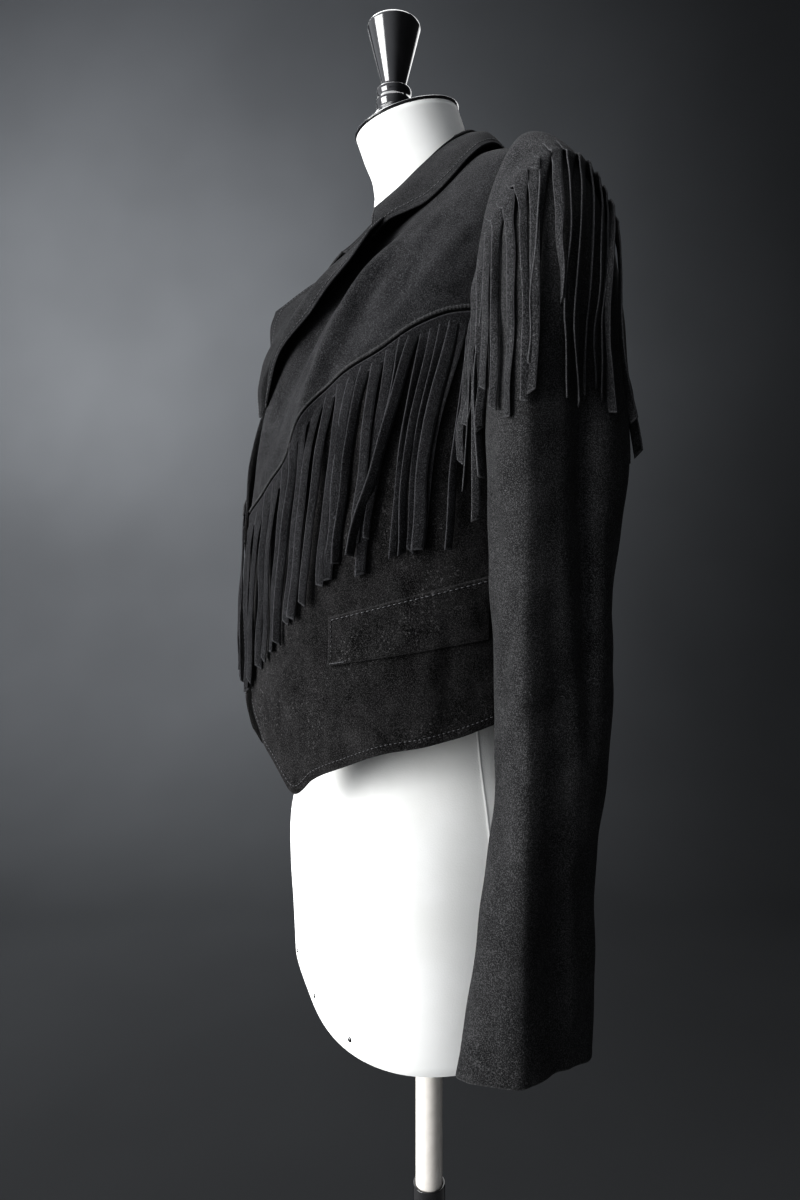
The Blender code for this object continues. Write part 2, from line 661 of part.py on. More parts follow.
def lapel(name, mirrored, flare):
    """Folded out along the roll line, with a soft roll and a free outer edge."""
    height = np.linspace(LAPEL[0].height, LAPEL[-1].height, LAPEL_RIBS)
    climb = (height - height[0]) / (height[-1] - height[0])
    edge_x = ease(LAPEL, "x", height)
    swell = np.sin(pi * (LAPEL_SWELL_FROM + climb * LAPEL_SWELL_SPAN))
    bulge = LAPEL_ROLL * swell
    lifted = flare * climb**FLARE_POWER
    stand = ease(LAPEL, "stand_off", height) + lifted
    rise = LAPEL_TOP_SLANT * climb**2

    def line(share, out):
        level = height + rise * (1 - share) - FLARE_DROP * lifted * share
        root = ease(FRONT_EDGE, "x", level)
        return on_chest(root + share * (edge_x - root), level, out)

    low_root = line(0.0, SEAM_GAP + SEAM_PLAY + 0 * height)
    crest = line(-0.03, LAPEL_LIFT - 0.0004 + 0.6 * bulge)
    brow = line(0.20, LAPEL_LIFT + bulge)
    middle = line(0.60, (LAPEL_LIFT + bulge + stand) / 2 + LAPEL_MIDDLE_ROUND * swell)
    edge = line(1.0, stand)
    lines = bend([low_root, crest, brow, middle, edge], LAPEL_LINES)
    return ribbon(name, lines.transpose(1, 0, 2), WALL, mirrored)


def collar():
    """Stands up from the neck seam, rolls over and falls on the shoulders."""
    station = np.linspace(0, 1, COLLAR_RIBS)
    seam_height = ease(COLLAR, "seam_height", station)
    front_part = seam_height < SHOULDER_TOP - SEAM_GAP
    back_share = np.clip((station - COLLAR_BACK_STATION) / (1 - COLLAR_BACK_STATION), 0, 1)
    back_turn = 90 * (1 + back_share)
    seam_turn = np.where(front_part, edge_turn(seam_height), back_turn)
    seam = cloth(seam_turn, seam_height)
    roll = np.stack([ease(COLLAR, "roll_" + axis, station) for axis in "xyz"], axis=-1)
    edge = np.stack([ease(COLLAR, "edge_" + axis, station) for axis in "xyz"], axis=-1)
    outward = unit((edge - roll) * np.array([1, 1, 0]))
    lift = np.array([0, 0, 1.0])
    stand_low = seam + (SEAM_GAP + 4 * SEAM_PLAY) * lift - 0.0005 * outward
    stand_high = roll - COLLAR_ROLL * outward - 1.2 * COLLAR_ROLL * lift
    over = roll + COLLAR_ROLL * outward - 0.6 * COLLAR_ROLL * lift
    middle = 0.5 * (over + edge) + COLLAR_ROUND * (outward + lift)
    half = bend([stand_low, stand_high, roll, over, middle, edge], COLLAR_LINES)
    near_end = np.clip(1 - station / COLLAR_FLARE_STATION, 0, 1)
    forward = RIGHT_COLLAR_FLARE * near_end**COLLAR_FLARE_POWER
    share = np.linspace(0, 1, len(half))[:, None] ** 2
    half_right = half.copy()
    half_right[..., 1] -= share * forward
    other = half_right[:, ::-1][:, 1:] * np.array([-1.0, 1, 1])
    lines = np.concatenate([half, other], axis=1).transpose(1, 0, 2)
    return ribbon("collar", lines, WALL)


# ---------------------------------------------------------------- flaps, piping and fringe
def flap(name, mirrored):
    """Lies on the lower front, its outer skin moved out from the panel's."""
    share = np.linspace(0, 1, 8)
    turn = FLAP_FRONT_TURN + share * (FLAP_BACK_TURN - FLAP_FRONT_TURN)
    top = FLAP_TOP_FRONT + share * (FLAP_TOP_BACK - FLAP_TOP_FRONT)
    tall = FLAP_TALL_FRONT + share * (FLAP_TALL_BACK - FLAP_TALL_FRONT)
    rows = np.linspace(1, 0, 3)[:, None]
    height = top - rows * tall
    turn = np.broadcast_to(turn, height.shape)
    normals = girth_normal(JACKET, turn, height)
    skin = cloth(turn, height, SEAM_GAP + FLAP_WALL)
    return wall(name, skin, normals, FLAP_WALL, SUEDE_FINISH, mirrored)


def piping(name, mirrored):
    """A thin corded edge along the chest seam."""
    start = float(edge_turn(np.array(YOKE_SEAM[0].height))) + 0.8
    end = float(armhole(seam_end())[0]) - 1.5
    turn = np.linspace(start, end, 20)
    path = cloth(turn, yoke_seam(turn) + 0.0016, PIPING_RADIUS + SEAM_GAP)
    if mirrored:
        path = path * np.array([-1.0, 1, 1])
    curve = bpy.data.curves.new(name, "CURVE")
    curve.dimensions = "3D"
    curve.bevel_depth = PIPING_RADIUS
    curve.bevel_resolution = 0
    curve.use_fill_caps = True
    line = curve.splines.new("POLY")
    line.points.add(len(path) - 1)
    for point, place_ in zip(line.points, path):
        point.co = (*place_, 1.0)
    thing = bpy.data.objects.new(name, curve)
    curve.materials.append(material(name, *SUEDE_FINISH))
    PARTS.objects.link(thing)
    return thing


def comb(name, outer, inner, strands, mirrored):
    """A strip with strands cut from its lower edge, all one body.

    outer and inner are the strip's skins, with a row of points for each line along it, the
    free edge last, and two columns for each strand. A strand is a list of its corners at each
    level down: outer left, outer right, inner right, inner left.
    """
    rows, columns = outer.shape[:2]
    points = list(outer.reshape(-1, 3)) + list(inner.reshape(-1, 3))
    back = rows * columns
    last = columns - 1
    faces = []
    for r in range(rows - 1):
        high, low = r * columns, (r + 1) * columns
        for c in range(last):
            faces.append((low + c, low + c + 1, high + c + 1, high + c))
            faces.append((back + high + c, back + high + c + 1, back + low + c + 1, back + low + c))
        faces.append((low, high, back + high, back + low))
        faces.append((high + last, low + last, back + low + last, back + high + last))
    free = (rows - 1) * columns
    for c in range(last):
        faces.append((c, c + 1, back + c + 1, back + c))
        if c % 2 == 1:
            faces.append((back + free + c, back + free + c + 1, free + c + 1, free + c))
    for i, levels in enumerate(strands):
        a, b = free + 2 * i, free + 2 * i + 1
        above = (a, b, back + b, back + a)
        for level in levels:
            here = tuple(range(len(points), len(points) + 4))
            points.extend(level)
            for k in range(4):
                m = (k + 1) % 4
                faces.append((above[m], above[k], here[k], here[m]))
            above = here
        faces.append(tuple(reversed(above)))
    return solid(name, points, faces, SUEDE_FINISH, mirrored)


def strand_levels(path, across, outward, width, twist):
    """Corners down one strand, from its centre line and its width direction at each level."""
    levels = []
    for p, a, n, w, turn in zip(path, across, outward, width, twist):
        wide = a * cos(turn) + n * sin(turn)
        thick = n * cos(turn) - a * sin(turn)
        half, skin = wide * w / 2, thick * STRIP_WALL / 2
        levels.append((p - half + skin, p + half + skin, p + half - skin, p - half - skin))
    return levels


def yoke_fringe(name, mirrored, phase):
    """Hangs from the chest seam over the lower front."""
    start = float(edge_turn(np.array(YOKE_SEAM[0].height))) + 1.0
    end = float(armhole(seam_end())[0]) - 3.5
    cuts = np.linspace(start, end, YOKE_STRANDS + 1)
    inset = (1 - STRAND_FILL) / 2
    marks = np.array([cuts[i] + (cuts[i + 1] - cuts[i]) * s
                      for i in range(YOKE_STRANDS) for s in (inset, 1 - inset)])
    seam = yoke_seam(marks) - 0.0020
    below = seam - YOKE_BAND
    lift = SEAM_GAP
    outer = np.array([cloth(marks, level, lift + STRIP_WALL) for level in (seam, below)])
    inner = np.array([cloth(marks, level, lift) for level in (seam, below)])
    strands = []
    for i in range(YOKE_STRANDS):
        share = i / (YOKE_STRANDS - 1)
        wave = sin(2.4 * i + phase)
        length = YOKE_FRINGE_SHORT + (YOKE_FRINGE_LONG - YOKE_FRINGE_SHORT) * share - YOKE_BAND
        length *= 1 + YOKE_LENGTH_PLAY * wave
        left, right = marks[2 * i], marks[2 * i + 1]
        turn = (left + right) / 2 + YOKE_SWAY * wave * YOKE_FALL
        height = below[2 * i:2 * i + 2].mean() - length * YOKE_FALL
        layer = YOKE_LIFT_LOW + YOKE_LAYER_LOW * (i % 2)
        out = lift + STRIP_WALL / 2 + YOKE_LIFT + layer * np.minimum(YOKE_FALL * 2, 1)
        path = cloth(turn, height, out)
        outward = girth_normal(JACKET, turn, height)
        across = unit(np.cross(np.array([0, 0, 1.0]), outward))
        width = np.radians(right - left) * YOKE_REACH * (1 - YOKE_TAPER * YOKE_FALL)
        twist = YOKE_TWIST * wave * YOKE_FALL
        strands.append(strand_levels(path, across, outward, width, twist))
    return comb(name, outer, inner, strands, mirrored)


def sleeve_surface():
    """The sleeve head as a function of the turn round it and the distance along it."""
    skin, _ = sleeve_net(SLEEVE[:8], 120)
    skin = skin[::-1]
    normals = -net_normals(skin)
    if normals[4, 0, 0] < 0:
        normals = -normals

    def read(ring_turn, along, out):
        column = (np.asarray(ring_turn) % 360) / 3.0
        row = np.clip(np.asarray(along, float), 0, len(skin) - 1.001)
        c, r = np.floor(column).astype(int), np.floor(row).astype(int)
        u, v = (column - c)[..., None], (row - r)[..., None]

        def blend(net):
            low = net[r, c % 120] * (1 - u) + net[r, (c + 1) % 120] * u
            high = net[r + 1, c % 120] * (1 - u) + net[r + 1, (c + 1) % 120] * u
            return low * (1 - v) + high * v
        return blend(skin) + np.asarray(out)[..., None] * unit(blend(normals))
    return read


def sleeve_outside(read):
    """A function of depth and height that gives how far out the sleeve reaches there."""
    ring_turn, along = np.meshgrid(np.linspace(-96, 96, 130), np.linspace(0.2, 7.9, 260))
    skin = read(ring_turn, along, 0 * along).reshape(-1, 3)

    def reach(y, height):
        near = np.hypot(skin[:, 1] - y, skin[:, 2] - height) < STRAND_CLEAR
        return skin[near, 0].max() if near.any() else 0.0
    return reach


def arm_fringe(name, mirrored, phase):
    """Lies from the armhole seam out over the sleeve head, and hangs round the arm."""
    read = sleeve_surface()
    reach = sleeve_outside(read)
    cuts = np.linspace(ARM_FRONT_TURN, ARM_BACK_TURN, ARM_STRANDS + 1)
    inset = (1 - STRAND_FILL) / 2
    marks = np.array([cuts[i] + (cuts[i + 1] - cuts[i]) * s
                      for i in range(ARM_STRANDS) for s in (inset, 1 - inset)])
    lift = SEAM_GAP + HEAD_PLAY * np.clip(0.35 + np.cos(np.radians(marks - 20)), 0.35, 1)
    slit = 1.05 + 0.85 * np.clip(np.cos(np.radians(0.85 * marks)), -0.2, 1)
    middle = np.where(slit > 1.0, 1.0, (ARM_STRIP_START + slit) / 2)
    lines = (ARM_STRIP_START + 0 * slit, middle, slit)
    outer = np.array([read(marks, along, lift + STRIP_WALL) for along in lines])
    inner = np.array([read(marks, along, lift) for along in lines])
    edge = 0.5 * (outer[-1] + inner[-1])
    middle_turn = (cuts[1:] + cuts[:-1]) / 2
    strands = []
    for i in range(ARM_STRANDS):
        wave = sin(1.9 * i + phase)
        root = 0.5 * (edge[2 * i] + edge[2 * i + 1])
        root_width = np.linalg.norm(edge[2 * i + 1] - edge[2 * i])
        tip = float(ease(ARM_TIPS, "height", np.array(middle_turn[i]))) + ARM_TIP_PLAY * wave
        fall = ARM_FALL
        height = root[2] + (tip - root[2]) * fall
        out = STRIP_WALL / 2 + ARM_LIFT + (ARM_LIFT_LOW + ARM_LAYER_LOW * (i % 2)) * fall
        turn = middle_turn[i]
        hang, share = None, 0.0
        if turn > HANG_FREE_FRONT:
            hang, share = FRONT_HANG, (turn - HANG_FREE_FRONT) / (cuts[0] - HANG_FREE_FRONT)
        elif turn < -HANG_FREE_BACK:
            hang, share = BACK_HANG, (turn + HANG_FREE_BACK) / (cuts[-1] + HANG_FREE_BACK)
        if hang:
            to_x, to_y = (float(ease(hang, axis, np.array(share))) for axis in "xy")
            out_y, out_x = (fall * 14, fall * 2) if hang is FRONT_HANG else (0.4 + fall, fall * 1.2)
            x = root[0] + (to_x - root[0]) * np.minimum(out_x, 1)
            y = root[1] + (to_y - root[1]) * np.minimum(out_y, 1)
        else:
            y = root[1] + 0 * fall
            x = np.array([max(root[0] + 0.003, reach(b, c) + o) for b, c, o in zip(y, height, out)])
        path = np.stack([x, y, height], axis=-1)
        heading = np.radians(90 * np.clip((root[1] - 0.012) / 0.05, -1, 1))
        outward = np.tile(np.array([cos(heading), sin(heading), 0.0]), (len(fall), 1))
        across = np.tile(np.array([-sin(heading), cos(heading), 0.0]), (len(fall), 1))
        width = min(root_width, ARM_STRAND_WIDTH) * (1 - ARM_TAPER * fall)
        strands.append(strand_levels(path, across, outward, width, ARM_TWIST * wave * fall))
    return comb(name, outer, inner, strands, mirrored)


# ---------------------------------------------------------------- the dress form and stand
def leaning_rings(rings, turn):
    """Rings of points, each tipped forward by its lean."""
    angle = np.radians(turn)
    levels = []
    for ring in rings:
        forward = -ring.radius * np.cos(angle)
        levels.append(np.stack([ring.radius * np.sin(angle),
                                ring.y + forward * cos(radians(ring.lean)),
                                ring.height + forward * sin(radians(ring.lean))], axis=-1))
    return levels


def stacked(name, levels, finish):
    """A closed body through rings of points, lowest first, with flat ends."""
    count = len(levels[0])
    faces = []
    for r in range(len(levels) - 1):
        for c in range(count):
            d = (c + 1) % count
            face = (r * count + c, r * count + d, (r + 1) * count + d, (r + 1) * count + c)
            mirror_half = c < count // 2
            faces.append(face[1:] + face[:1] if mirror_half else face)
    faces.append(tuple(range(count - 1, -1, -1)))
    top = (len(levels) - 1) * count
    faces.append(tuple(range(top, top + count)))
    return solid(name, np.concatenate(levels), faces, finish)


def shoulder_ring(turn, height, even):
    """One level of the shoulders: just inside the cloth, or out to the foot of the neck.

    even says how far its corners keep to even headings instead of the cloth's own turns.
    """
    fine = np.linspace(-180, 180, 721)
    inside = cloth(fine, height, -WALL - FORM_REST_GAP)
    heading = np.degrees(np.unwrap(np.arctan2(inside[:, 0], -inside[:, 1])))
    neck = NECK[0].radius + NECK_FOOT_FLARE * (NECK[0].height - height) ** NECK_FOOT_POWER
    reach = np.hypot(inside[:, 0], inside[:, 1])
    reach = (reach**NECK_JOIN + neck**NECK_JOIN) ** (1 / NECK_JOIN)
    at = np.interp(turn, fine, heading) * (1 - even) + turn * even
    reach, level = np.interp(at, heading, reach), np.interp(at, heading, inside[:, 2])
    angle = np.radians(at)
    return np.stack([reach * np.sin(angle), -reach * np.cos(angle), level], axis=-1)


def belly(turn, height):
    """How much wider than an oval the form is at a turn: it bulges at its front corners."""
    low = np.clip((BELLY_EVEN_FROM - height) / (BELLY_EVEN_FROM - BELLY_FULL_UP_TO), 0, 1)
    bulge = BELLY_FULLNESS * low * np.sin(np.radians(2 * turn)) ** 2
    wider = 1 + np.where(np.abs(turn) < 90, bulge, 0.0)
    return np.stack([wider, wider, np.ones(len(turn))], axis=-1)


def form_torso():
    """One smooth closed body from the flat foot up to the top of the leaning neck."""
    turn = np.arange(FORM_SIDES) * 360 / FORM_SIDES - 180
    levels = [girth_point(FORM, turn, height) * belly(turn, height)
              for height in np.linspace(FORM[0].height, FORM[-1].height, FORM_LEVELS)]
    for share in np.linspace(0, 1, FORM_REST_LEVELS):
        height = FORM_REST_LOW + share * (FORM_REST_TOP - FORM_REST_LOW)
        levels.append(shoulder_ring(turn, height, share))
    return stacked("form_torso", levels + leaning_rings(NECK, turn), (COAT_WHITE, 0.6))


def turned(name, profile, finish):
    """A body turned about Z from (radius, height) points that run top to bottom."""
    mesh = bpy.data.meshes.new(name)
    points = [(p.radius, 0.0, p.height) for p in profile]
    mesh.from_pydata(points, [(i, i + 1) for i in range(len(points) - 1)], [])
    thing = place(name, mesh, finish)
    screw = thing.modifiers.new("turn", "SCREW")
    screw.steps = screw.render_steps = TURNED_STEPS
    screw.use_merge_vertices = True
    screw.merge_threshold = 0.0001
    return thing


def stand():
    """Neck cap, finial, pole, outer tube and round base."""
    turn = np.arange(FORM_SIDES) * 360 / FORM_SIDES
    stacked("neck_cap", leaning_rings(CAP, turn), (GLOSS_BLACK, 0.15))
    knob = turned("finial", FINIAL, (GLOSS_BLACK, 0.12))
    knob.location = (0.0, FINIAL_Y, FINIAL_BASE)
    foot = FORM[0].height - SEAM_GAP
    turned("pole", (Turned(0, foot), Turned(POLE_RADIUS, foot), Turned(POLE_RADIUS, POLE_LOW),
                    Turned(0, POLE_LOW)), (CREAM, 0.15))
    turned("stand_tube", (Turned(TUBE_BORE, TUBE_TOP), Turned(TUBE_RADIUS, TUBE_TOP),
                          Turned(TUBE_RADIUS, TUBE_FOOT), Turned(0, TUBE_FOOT),
                          Turned(0, POLE_LOW - SEAM_GAP), Turned(TUBE_BORE, POLE_LOW - SEAM_GAP),
                          Turned(TUBE_BORE, TUBE_TOP)), (GLOSS_BLACK, 0.2))
    turned("stand_base", BASE, (GLOSS_BLACK, 0.3))


# ---------------------------------------------------------------- the whole object
for old in list(bpy.data.objects):
    bpy.data.objects.remove(old, do_unlink=True)
PARTS = bpy.data.collections.new("fringed_jacket_on_form")
bpy.context.scene.collection.children.link(PARTS)
SUEDE_FINISH = (SUEDE, SUEDE_ROUGH)

back_panel()
collar()
SIDES = (("left", False, 0.0, 0.3), ("right", True, RIGHT_LAPEL_FLARE, 1.7))
for word, mirrored, flare, phase in SIDES:
    front_yoke("front_yoke_" + word, mirrored)
    front_lower("front_lower_" + word, mirrored)
    sleeve("sleeve_" + word, mirrored)
    lapel("lapel_" + word, mirrored, flare)
    flap("pocket_flap_" + word, mirrored)
    piping("piping_" + word, mirrored)
    yoke_fringe("yoke_fringe_" + word, mirrored, phase)
    arm_fringe("armhole_fringe_" + word, mirrored, phase)
form_torso()
stand()
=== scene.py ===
# %% [markdown]
# # A fringed suede jacket on a limbless dress form
#
# The jacket hangs open on a smooth white form with a black turned neck cap and a stand pole.
# Real suede is a thin, soft sheet, so every piece here is a thin closed sheet worked out from
# the same sizes as the frame that carries it. Creases are added along the surface's own outward
# direction, in the garment's own sizes, and the fringe is laid strand by strand.
#
# The frame holds the true size and place of each piece. It is loaded first, and each finished
# piece then stands for one of its solids.

# %% Load the frame
import json
from math import cos, pi, radians, sin

import bpy
import numpy as np
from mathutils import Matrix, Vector

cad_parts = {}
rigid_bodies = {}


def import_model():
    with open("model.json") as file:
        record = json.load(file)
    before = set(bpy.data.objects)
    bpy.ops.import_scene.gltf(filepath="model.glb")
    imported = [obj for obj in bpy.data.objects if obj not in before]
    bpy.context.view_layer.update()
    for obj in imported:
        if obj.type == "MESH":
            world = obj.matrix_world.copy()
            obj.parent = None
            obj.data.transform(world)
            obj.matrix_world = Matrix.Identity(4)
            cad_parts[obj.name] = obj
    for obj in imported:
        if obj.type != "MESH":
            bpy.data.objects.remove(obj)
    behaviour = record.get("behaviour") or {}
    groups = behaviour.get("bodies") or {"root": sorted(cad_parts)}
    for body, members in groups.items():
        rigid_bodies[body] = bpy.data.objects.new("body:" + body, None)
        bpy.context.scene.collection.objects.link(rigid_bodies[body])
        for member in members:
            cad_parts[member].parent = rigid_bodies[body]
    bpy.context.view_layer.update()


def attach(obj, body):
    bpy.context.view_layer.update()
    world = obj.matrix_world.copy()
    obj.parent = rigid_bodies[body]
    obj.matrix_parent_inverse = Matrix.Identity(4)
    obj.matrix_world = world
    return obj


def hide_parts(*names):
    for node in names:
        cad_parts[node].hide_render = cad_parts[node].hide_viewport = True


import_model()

# %% [markdown]
# ## The camera
#
# A close, level view from the wearer's left. A wide lens stands near the jacket, so near pieces
# look larger. The lens shift moves the picture's centre and leaves the verticals upright.

# %% Camera
CAMERA_PLACE = Vector((0.7513, -0.2441, 1.232))
CAMERA_TURN = 72.0          # degrees from looking along +Y
PICTURE_TALL = 1200         # pixels
CENTRE_ASIDE, CENTRE_UP = -29, -40          # of the lens, in those pixels
camera_data = bpy.data.cameras.new("camera")
camera_data.sensor_width = 36.0
camera_data.lens = 25.62
camera_data.shift_x = CENTRE_ASIDE / PICTURE_TALL
camera_data.shift_y = CENTRE_UP / PICTURE_TALL
camera = bpy.data.objects.new("camera", camera_data)
camera.location = CAMERA_PLACE
camera.rotation_euler = (radians(90), 0, radians(CAMERA_TURN))
bpy.context.scene.collection.objects.link(camera)
bpy.context.scene.camera = camera
print("camera", tuple(round(v, 3) for v in camera.location))

# %% [markdown]
# ## Reading small tables
#
# A garment is cut from a few measures: how wide and how deep it is at each height. Each table
# below has a row for each height, and a smooth curve is drawn through each of its columns, so
# a few rows give a surface of any fineness.


# %% Tables and curves
def table(names, *rows):
    """A small table as named columns. The first column says where the rows lie."""
    return dict(zip(names.split(), np.array(rows, float).T))


def ease(rows, column, at):
    """A smooth curve through a column: cubic between rows, with the mean slope at each row."""
    places, values = next(iter(rows.values())), rows[column]
    slopes = np.gradient(values, places)
    at = np.clip(at, places[0], places[-1])
    i = np.clip(np.searchsorted(places, at) - 1, 0, len(places) - 2)
    span = places[i + 1] - places[i]
    t = (at - places[i]) / span
    return ((2 * t**3 - 3 * t**2 + 1) * values[i] + (t**3 - 2 * t**2 + t) * span * slopes[i]
            + (3 * t**2 - 2 * t**3) * values[i + 1] + (t**3 - t**2) * span * slopes[i + 1])


def bend(points, at):
    """The same kind of curve through a stack of points or lines, read at places 0, 1, 2 ..."""
    points = np.asarray(points, float)
    slopes = np.gradient(points, axis=0)
    at = np.clip(at, 0, len(points) - 1)
    i = np.clip(at.astype(int), 0, len(points) - 2)
    t = (at - i).reshape((-1,) + (1,) * (points.ndim - 1))
    return ((2 * t**3 - 3 * t**2 + 1) * points[i] + (t**3 - 2 * t**2 + t) * slopes[i]
            + (3 * t**2 - 2 * t**3) * points[i + 1] + (t**3 - t**2) * slopes[i + 1])


def unit(vectors):
    """The same vectors, one metre long."""
    return vectors / np.maximum(np.linalg.norm(vectors, axis=-1, keepdims=True), 1e-12)


def soft_step(at, low, high):
    """0 below low, 1 above high, and a smooth rise between them."""
    t = np.clip((at - low) / (high - low), 0, 1)
    return t * t * (3 - 2 * t)


def spread(count, rim=(0.0008, 0.0022, 0.0048)):
    """Even places from 0 to 1, with a few more close to each end for a rounded edge."""
    rim = np.array(rim)
    inner = np.linspace(0, 1, count)[1:-1]
    inner = inner[(inner > 1.4 * rim[-1]) & (inner < 1 - 1.4 * rim[-1])]
    return np.concatenate([[0.0], rim, inner, 1 - rim[::-1], [1.0]])


print("a curve through 0, 1, 4 read half way:", bend([[0.0], [1.0], [4.0]], np.array([1.5]))[0])

# %% [markdown]
# ## The garment's sizes
#
# The jacket is boxy: straight from hem to chest, then closing over the shoulders. Its chest seam
# slants up from the front edge to the armhole, and its hem is cut away at the front. A place on
# it is a turn, in degrees from centre front towards the wearer's left, and a height.

# %% The jacket's girths, seams and edges
JACKET = table(
    "height half_width front back middle",
    (1.000, 0.185, 0.1610, 0.120, 0.000),
    (1.120, 0.186, 0.1655, 0.122, 0.000),
    (1.200, 0.188, 0.1665, 0.126, 0.000),
    (1.270, 0.189, 0.1655, 0.131, 0.000),
    (1.340, 0.188, 0.1575, 0.134, 0.000),
    (1.400, 0.184, 0.1420, 0.131, 0.002),
    (1.450, 0.180, 0.1190, 0.116, 0.006),
    (1.490, 0.176, 0.0880, 0.092, 0.013),
    (1.520, 0.167, 0.0660, 0.067, 0.021),
    (1.545, 0.152, 0.0500, 0.043, 0.027),
    (1.562, 0.119, 0.0420, 0.031, 0.030),
    (1.575, 0.078, 0.0370, 0.024, 0.031))
FRONT_EDGE = table(
    "height x",
    (1.050, 0.0220), (1.270, 0.0220), (1.350, 0.0230), (1.420, 0.0340), (1.480, 0.0460),
    (1.520, 0.0550), (1.545, 0.0620), (1.562, 0.0690), (1.575, 0.0780))
YOKE_SEAM = table(
    "turn height",
    (6.0, 1.268), (9.0, 1.273), (15.0, 1.283), (21.0, 1.295), (26.0, 1.306), (30.0, 1.320),
    (33.5, 1.339), (37.0, 1.354), (42.0, 1.366), (47.0, 1.375), (55.0, 1.387), (62.0, 1.400),
    (70.0, 1.409), (79.0, 1.412))
HEM = table(
    "turn height",
    (6.8, 1.112), (11.5, 1.098), (16.0, 1.083), (23.0, 1.068), (31.0, 1.052), (37.5, 1.066),
    (48.5, 1.081), (58.0, 1.092), (68.0, 1.098), (77.0, 1.105), (90.0, 1.117), (120.0, 1.125),
    (180.0, 1.128))
SHOULDER_TOP = 1.575
ARMHOLE_MIDDLE, ARMHOLE_RISE = 1.450, 0.095
ARMHOLE_FRONT, ARMHOLE_BACK = 7.5, 24.0     # degrees of turn that the armhole reaches
ARMHOLE_FULL_FOOT = 0.3     # how much wider than an ellipse it is below, and narrower above
SUEDE = 0.0020              # thickness of the suede
STRIP = 0.0015              # thickness of the cut strips
SEAM_GAP = 0.0003
HALF_GAP = SEAM_GAP / 2
GIRTH_RADIUS = 0.18         # of the jacket's body, to turn a length round it into degrees
HALF_GAP_TURN = np.degrees(HALF_GAP / GIRTH_RADIUS)
print("jacket from", HEM["height"].min(), "to", SHOULDER_TOP, "m")


# %% A point of a body given by its girths
def girth_point(rows, turn, height):
    """An ellipse at each height: its half width times the sine of the turn, and its front or
    back depth times the cosine, from where the section is widest."""
    angle = np.radians(turn)
    depth = np.where(np.cos(angle) > 0, ease(rows, "front", height), ease(rows, "back", height))
    x = ease(rows, "half_width", height) * np.sin(angle)
    y = ease(rows, "middle", height) - depth * np.cos(angle)
    return np.stack([x, y, height + 0 * angle], axis=-1)


def girth_normal(rows, turn, height):
    """The outward direction: the step along the turn crossed with the step upward."""
    across = girth_point(rows, turn + 0.4, height) - girth_point(rows, turn - 0.4, height)
    low = np.clip(height - 0.0008, rows["height"][0], rows["height"][-1])
    high = np.clip(height + 0.0008, rows["height"][0], rows["height"][-1])
    up = girth_point(rows, turn, high) - girth_point(rows, turn, low)
    return unit(np.cross(across, up))


print("the chest at centre front:", girth_point(JACKET, 0.0, 1.4).round(3))


# %% [markdown]
# ## Creases
#
# Suede is stiff for its weight: it folds in a few broad, soft ridges and troughs, and stays even
# between them. Each crease is a line on the garment with a height and a width. Its height falls
# off on both sides like a bell and fades towards its ends. The lines are placed where
# the jacket pulls: from the break of the lapel, from the armhole, and at the waist.

# %% Creases as lines on the surface
CREASE_NAMES = "turn_a height_a turn_b height_b rise width bow"
BODY_CREASES = table(
    CREASE_NAMES,
    (41.0, 1.475, 31.5, 1.320, 0.0072, 0.0100, 0.000),
    (31.5, 1.490, 17.0, 1.345, -0.0085, 0.0130, 0.000),
    (46.0, 1.450, 37.0, 1.352, -0.0022, 0.0090, 0.000),
    (58.0, 1.490, 50.0, 1.410, -0.0016, 0.0140, 0.004),
    (70.0, 1.480, 64.0, 1.420, 0.0014, 0.0120, -0.003),
    (74.8, 1.190, 73.8, 1.100, -0.0012, 0.0060, 0.002),
    (70.5, 1.180, 68.5, 1.095, 0.0010, 0.0090, 0.000),
    (62.0, 1.330, 56.0, 1.200, -0.0020, 0.0160, 0.006),
    (36.0, 1.250, 30.0, 1.080, 0.0016, 0.0180, 0.004),
    (18.0, 1.240, 16.0, 1.110, -0.0014, 0.0150, -0.004),
    (-39.0, 1.460, -30.0, 1.330, 0.0050, 0.0105, 0.000),
    (-30.0, 1.480, -16.0, 1.345, -0.0065, 0.0130, 0.000),
    (-47.0, 1.440, -39.0, 1.355, -0.0020, 0.0090, 0.000),
    (-66.0, 1.490, -58.0, 1.410, -0.0018, 0.0150, 0.004),
    (-76.0, 1.230, -72.0, 1.110, -0.0026, 0.0070, 0.003),
    (-55.0, 1.300, -60.0, 1.120, 0.0018, 0.0150, -0.006),
    (-24.0, 1.250, -20.0, 1.090, -0.0016, 0.0160, 0.003),
    (112.0, 1.350, 128.0, 1.160, -0.0030, 0.0120, 0.008),
    (122.0, 1.370, 140.0, 1.200, 0.0030, 0.0150, 0.006),
    (150.0, 1.480, 146.0, 1.280, -0.0018, 0.0160, 0.004),
    (165.0, 1.300, 170.0, 1.140, 0.0020, 0.0180, -0.005),
    (-115.0, 1.350, -130.0, 1.150, -0.0030, 0.0130, -0.007),
    (-128.0, 1.330, -146.0, 1.170, 0.0026, 0.0150, -0.004),
    (-152.0, 1.470, -149.0, 1.250, -0.0018, 0.0170, -0.003),
    (-170.0, 1.240, -166.0, 1.140, -0.0018, 0.0140, 0.003))
print("creases on the body:", len(BODY_CREASES["rise"]))

# %% How the creases lift the surface
CREASE_FADE = 1.8           # a crease keeps half its height at its ends, and soon fades past them


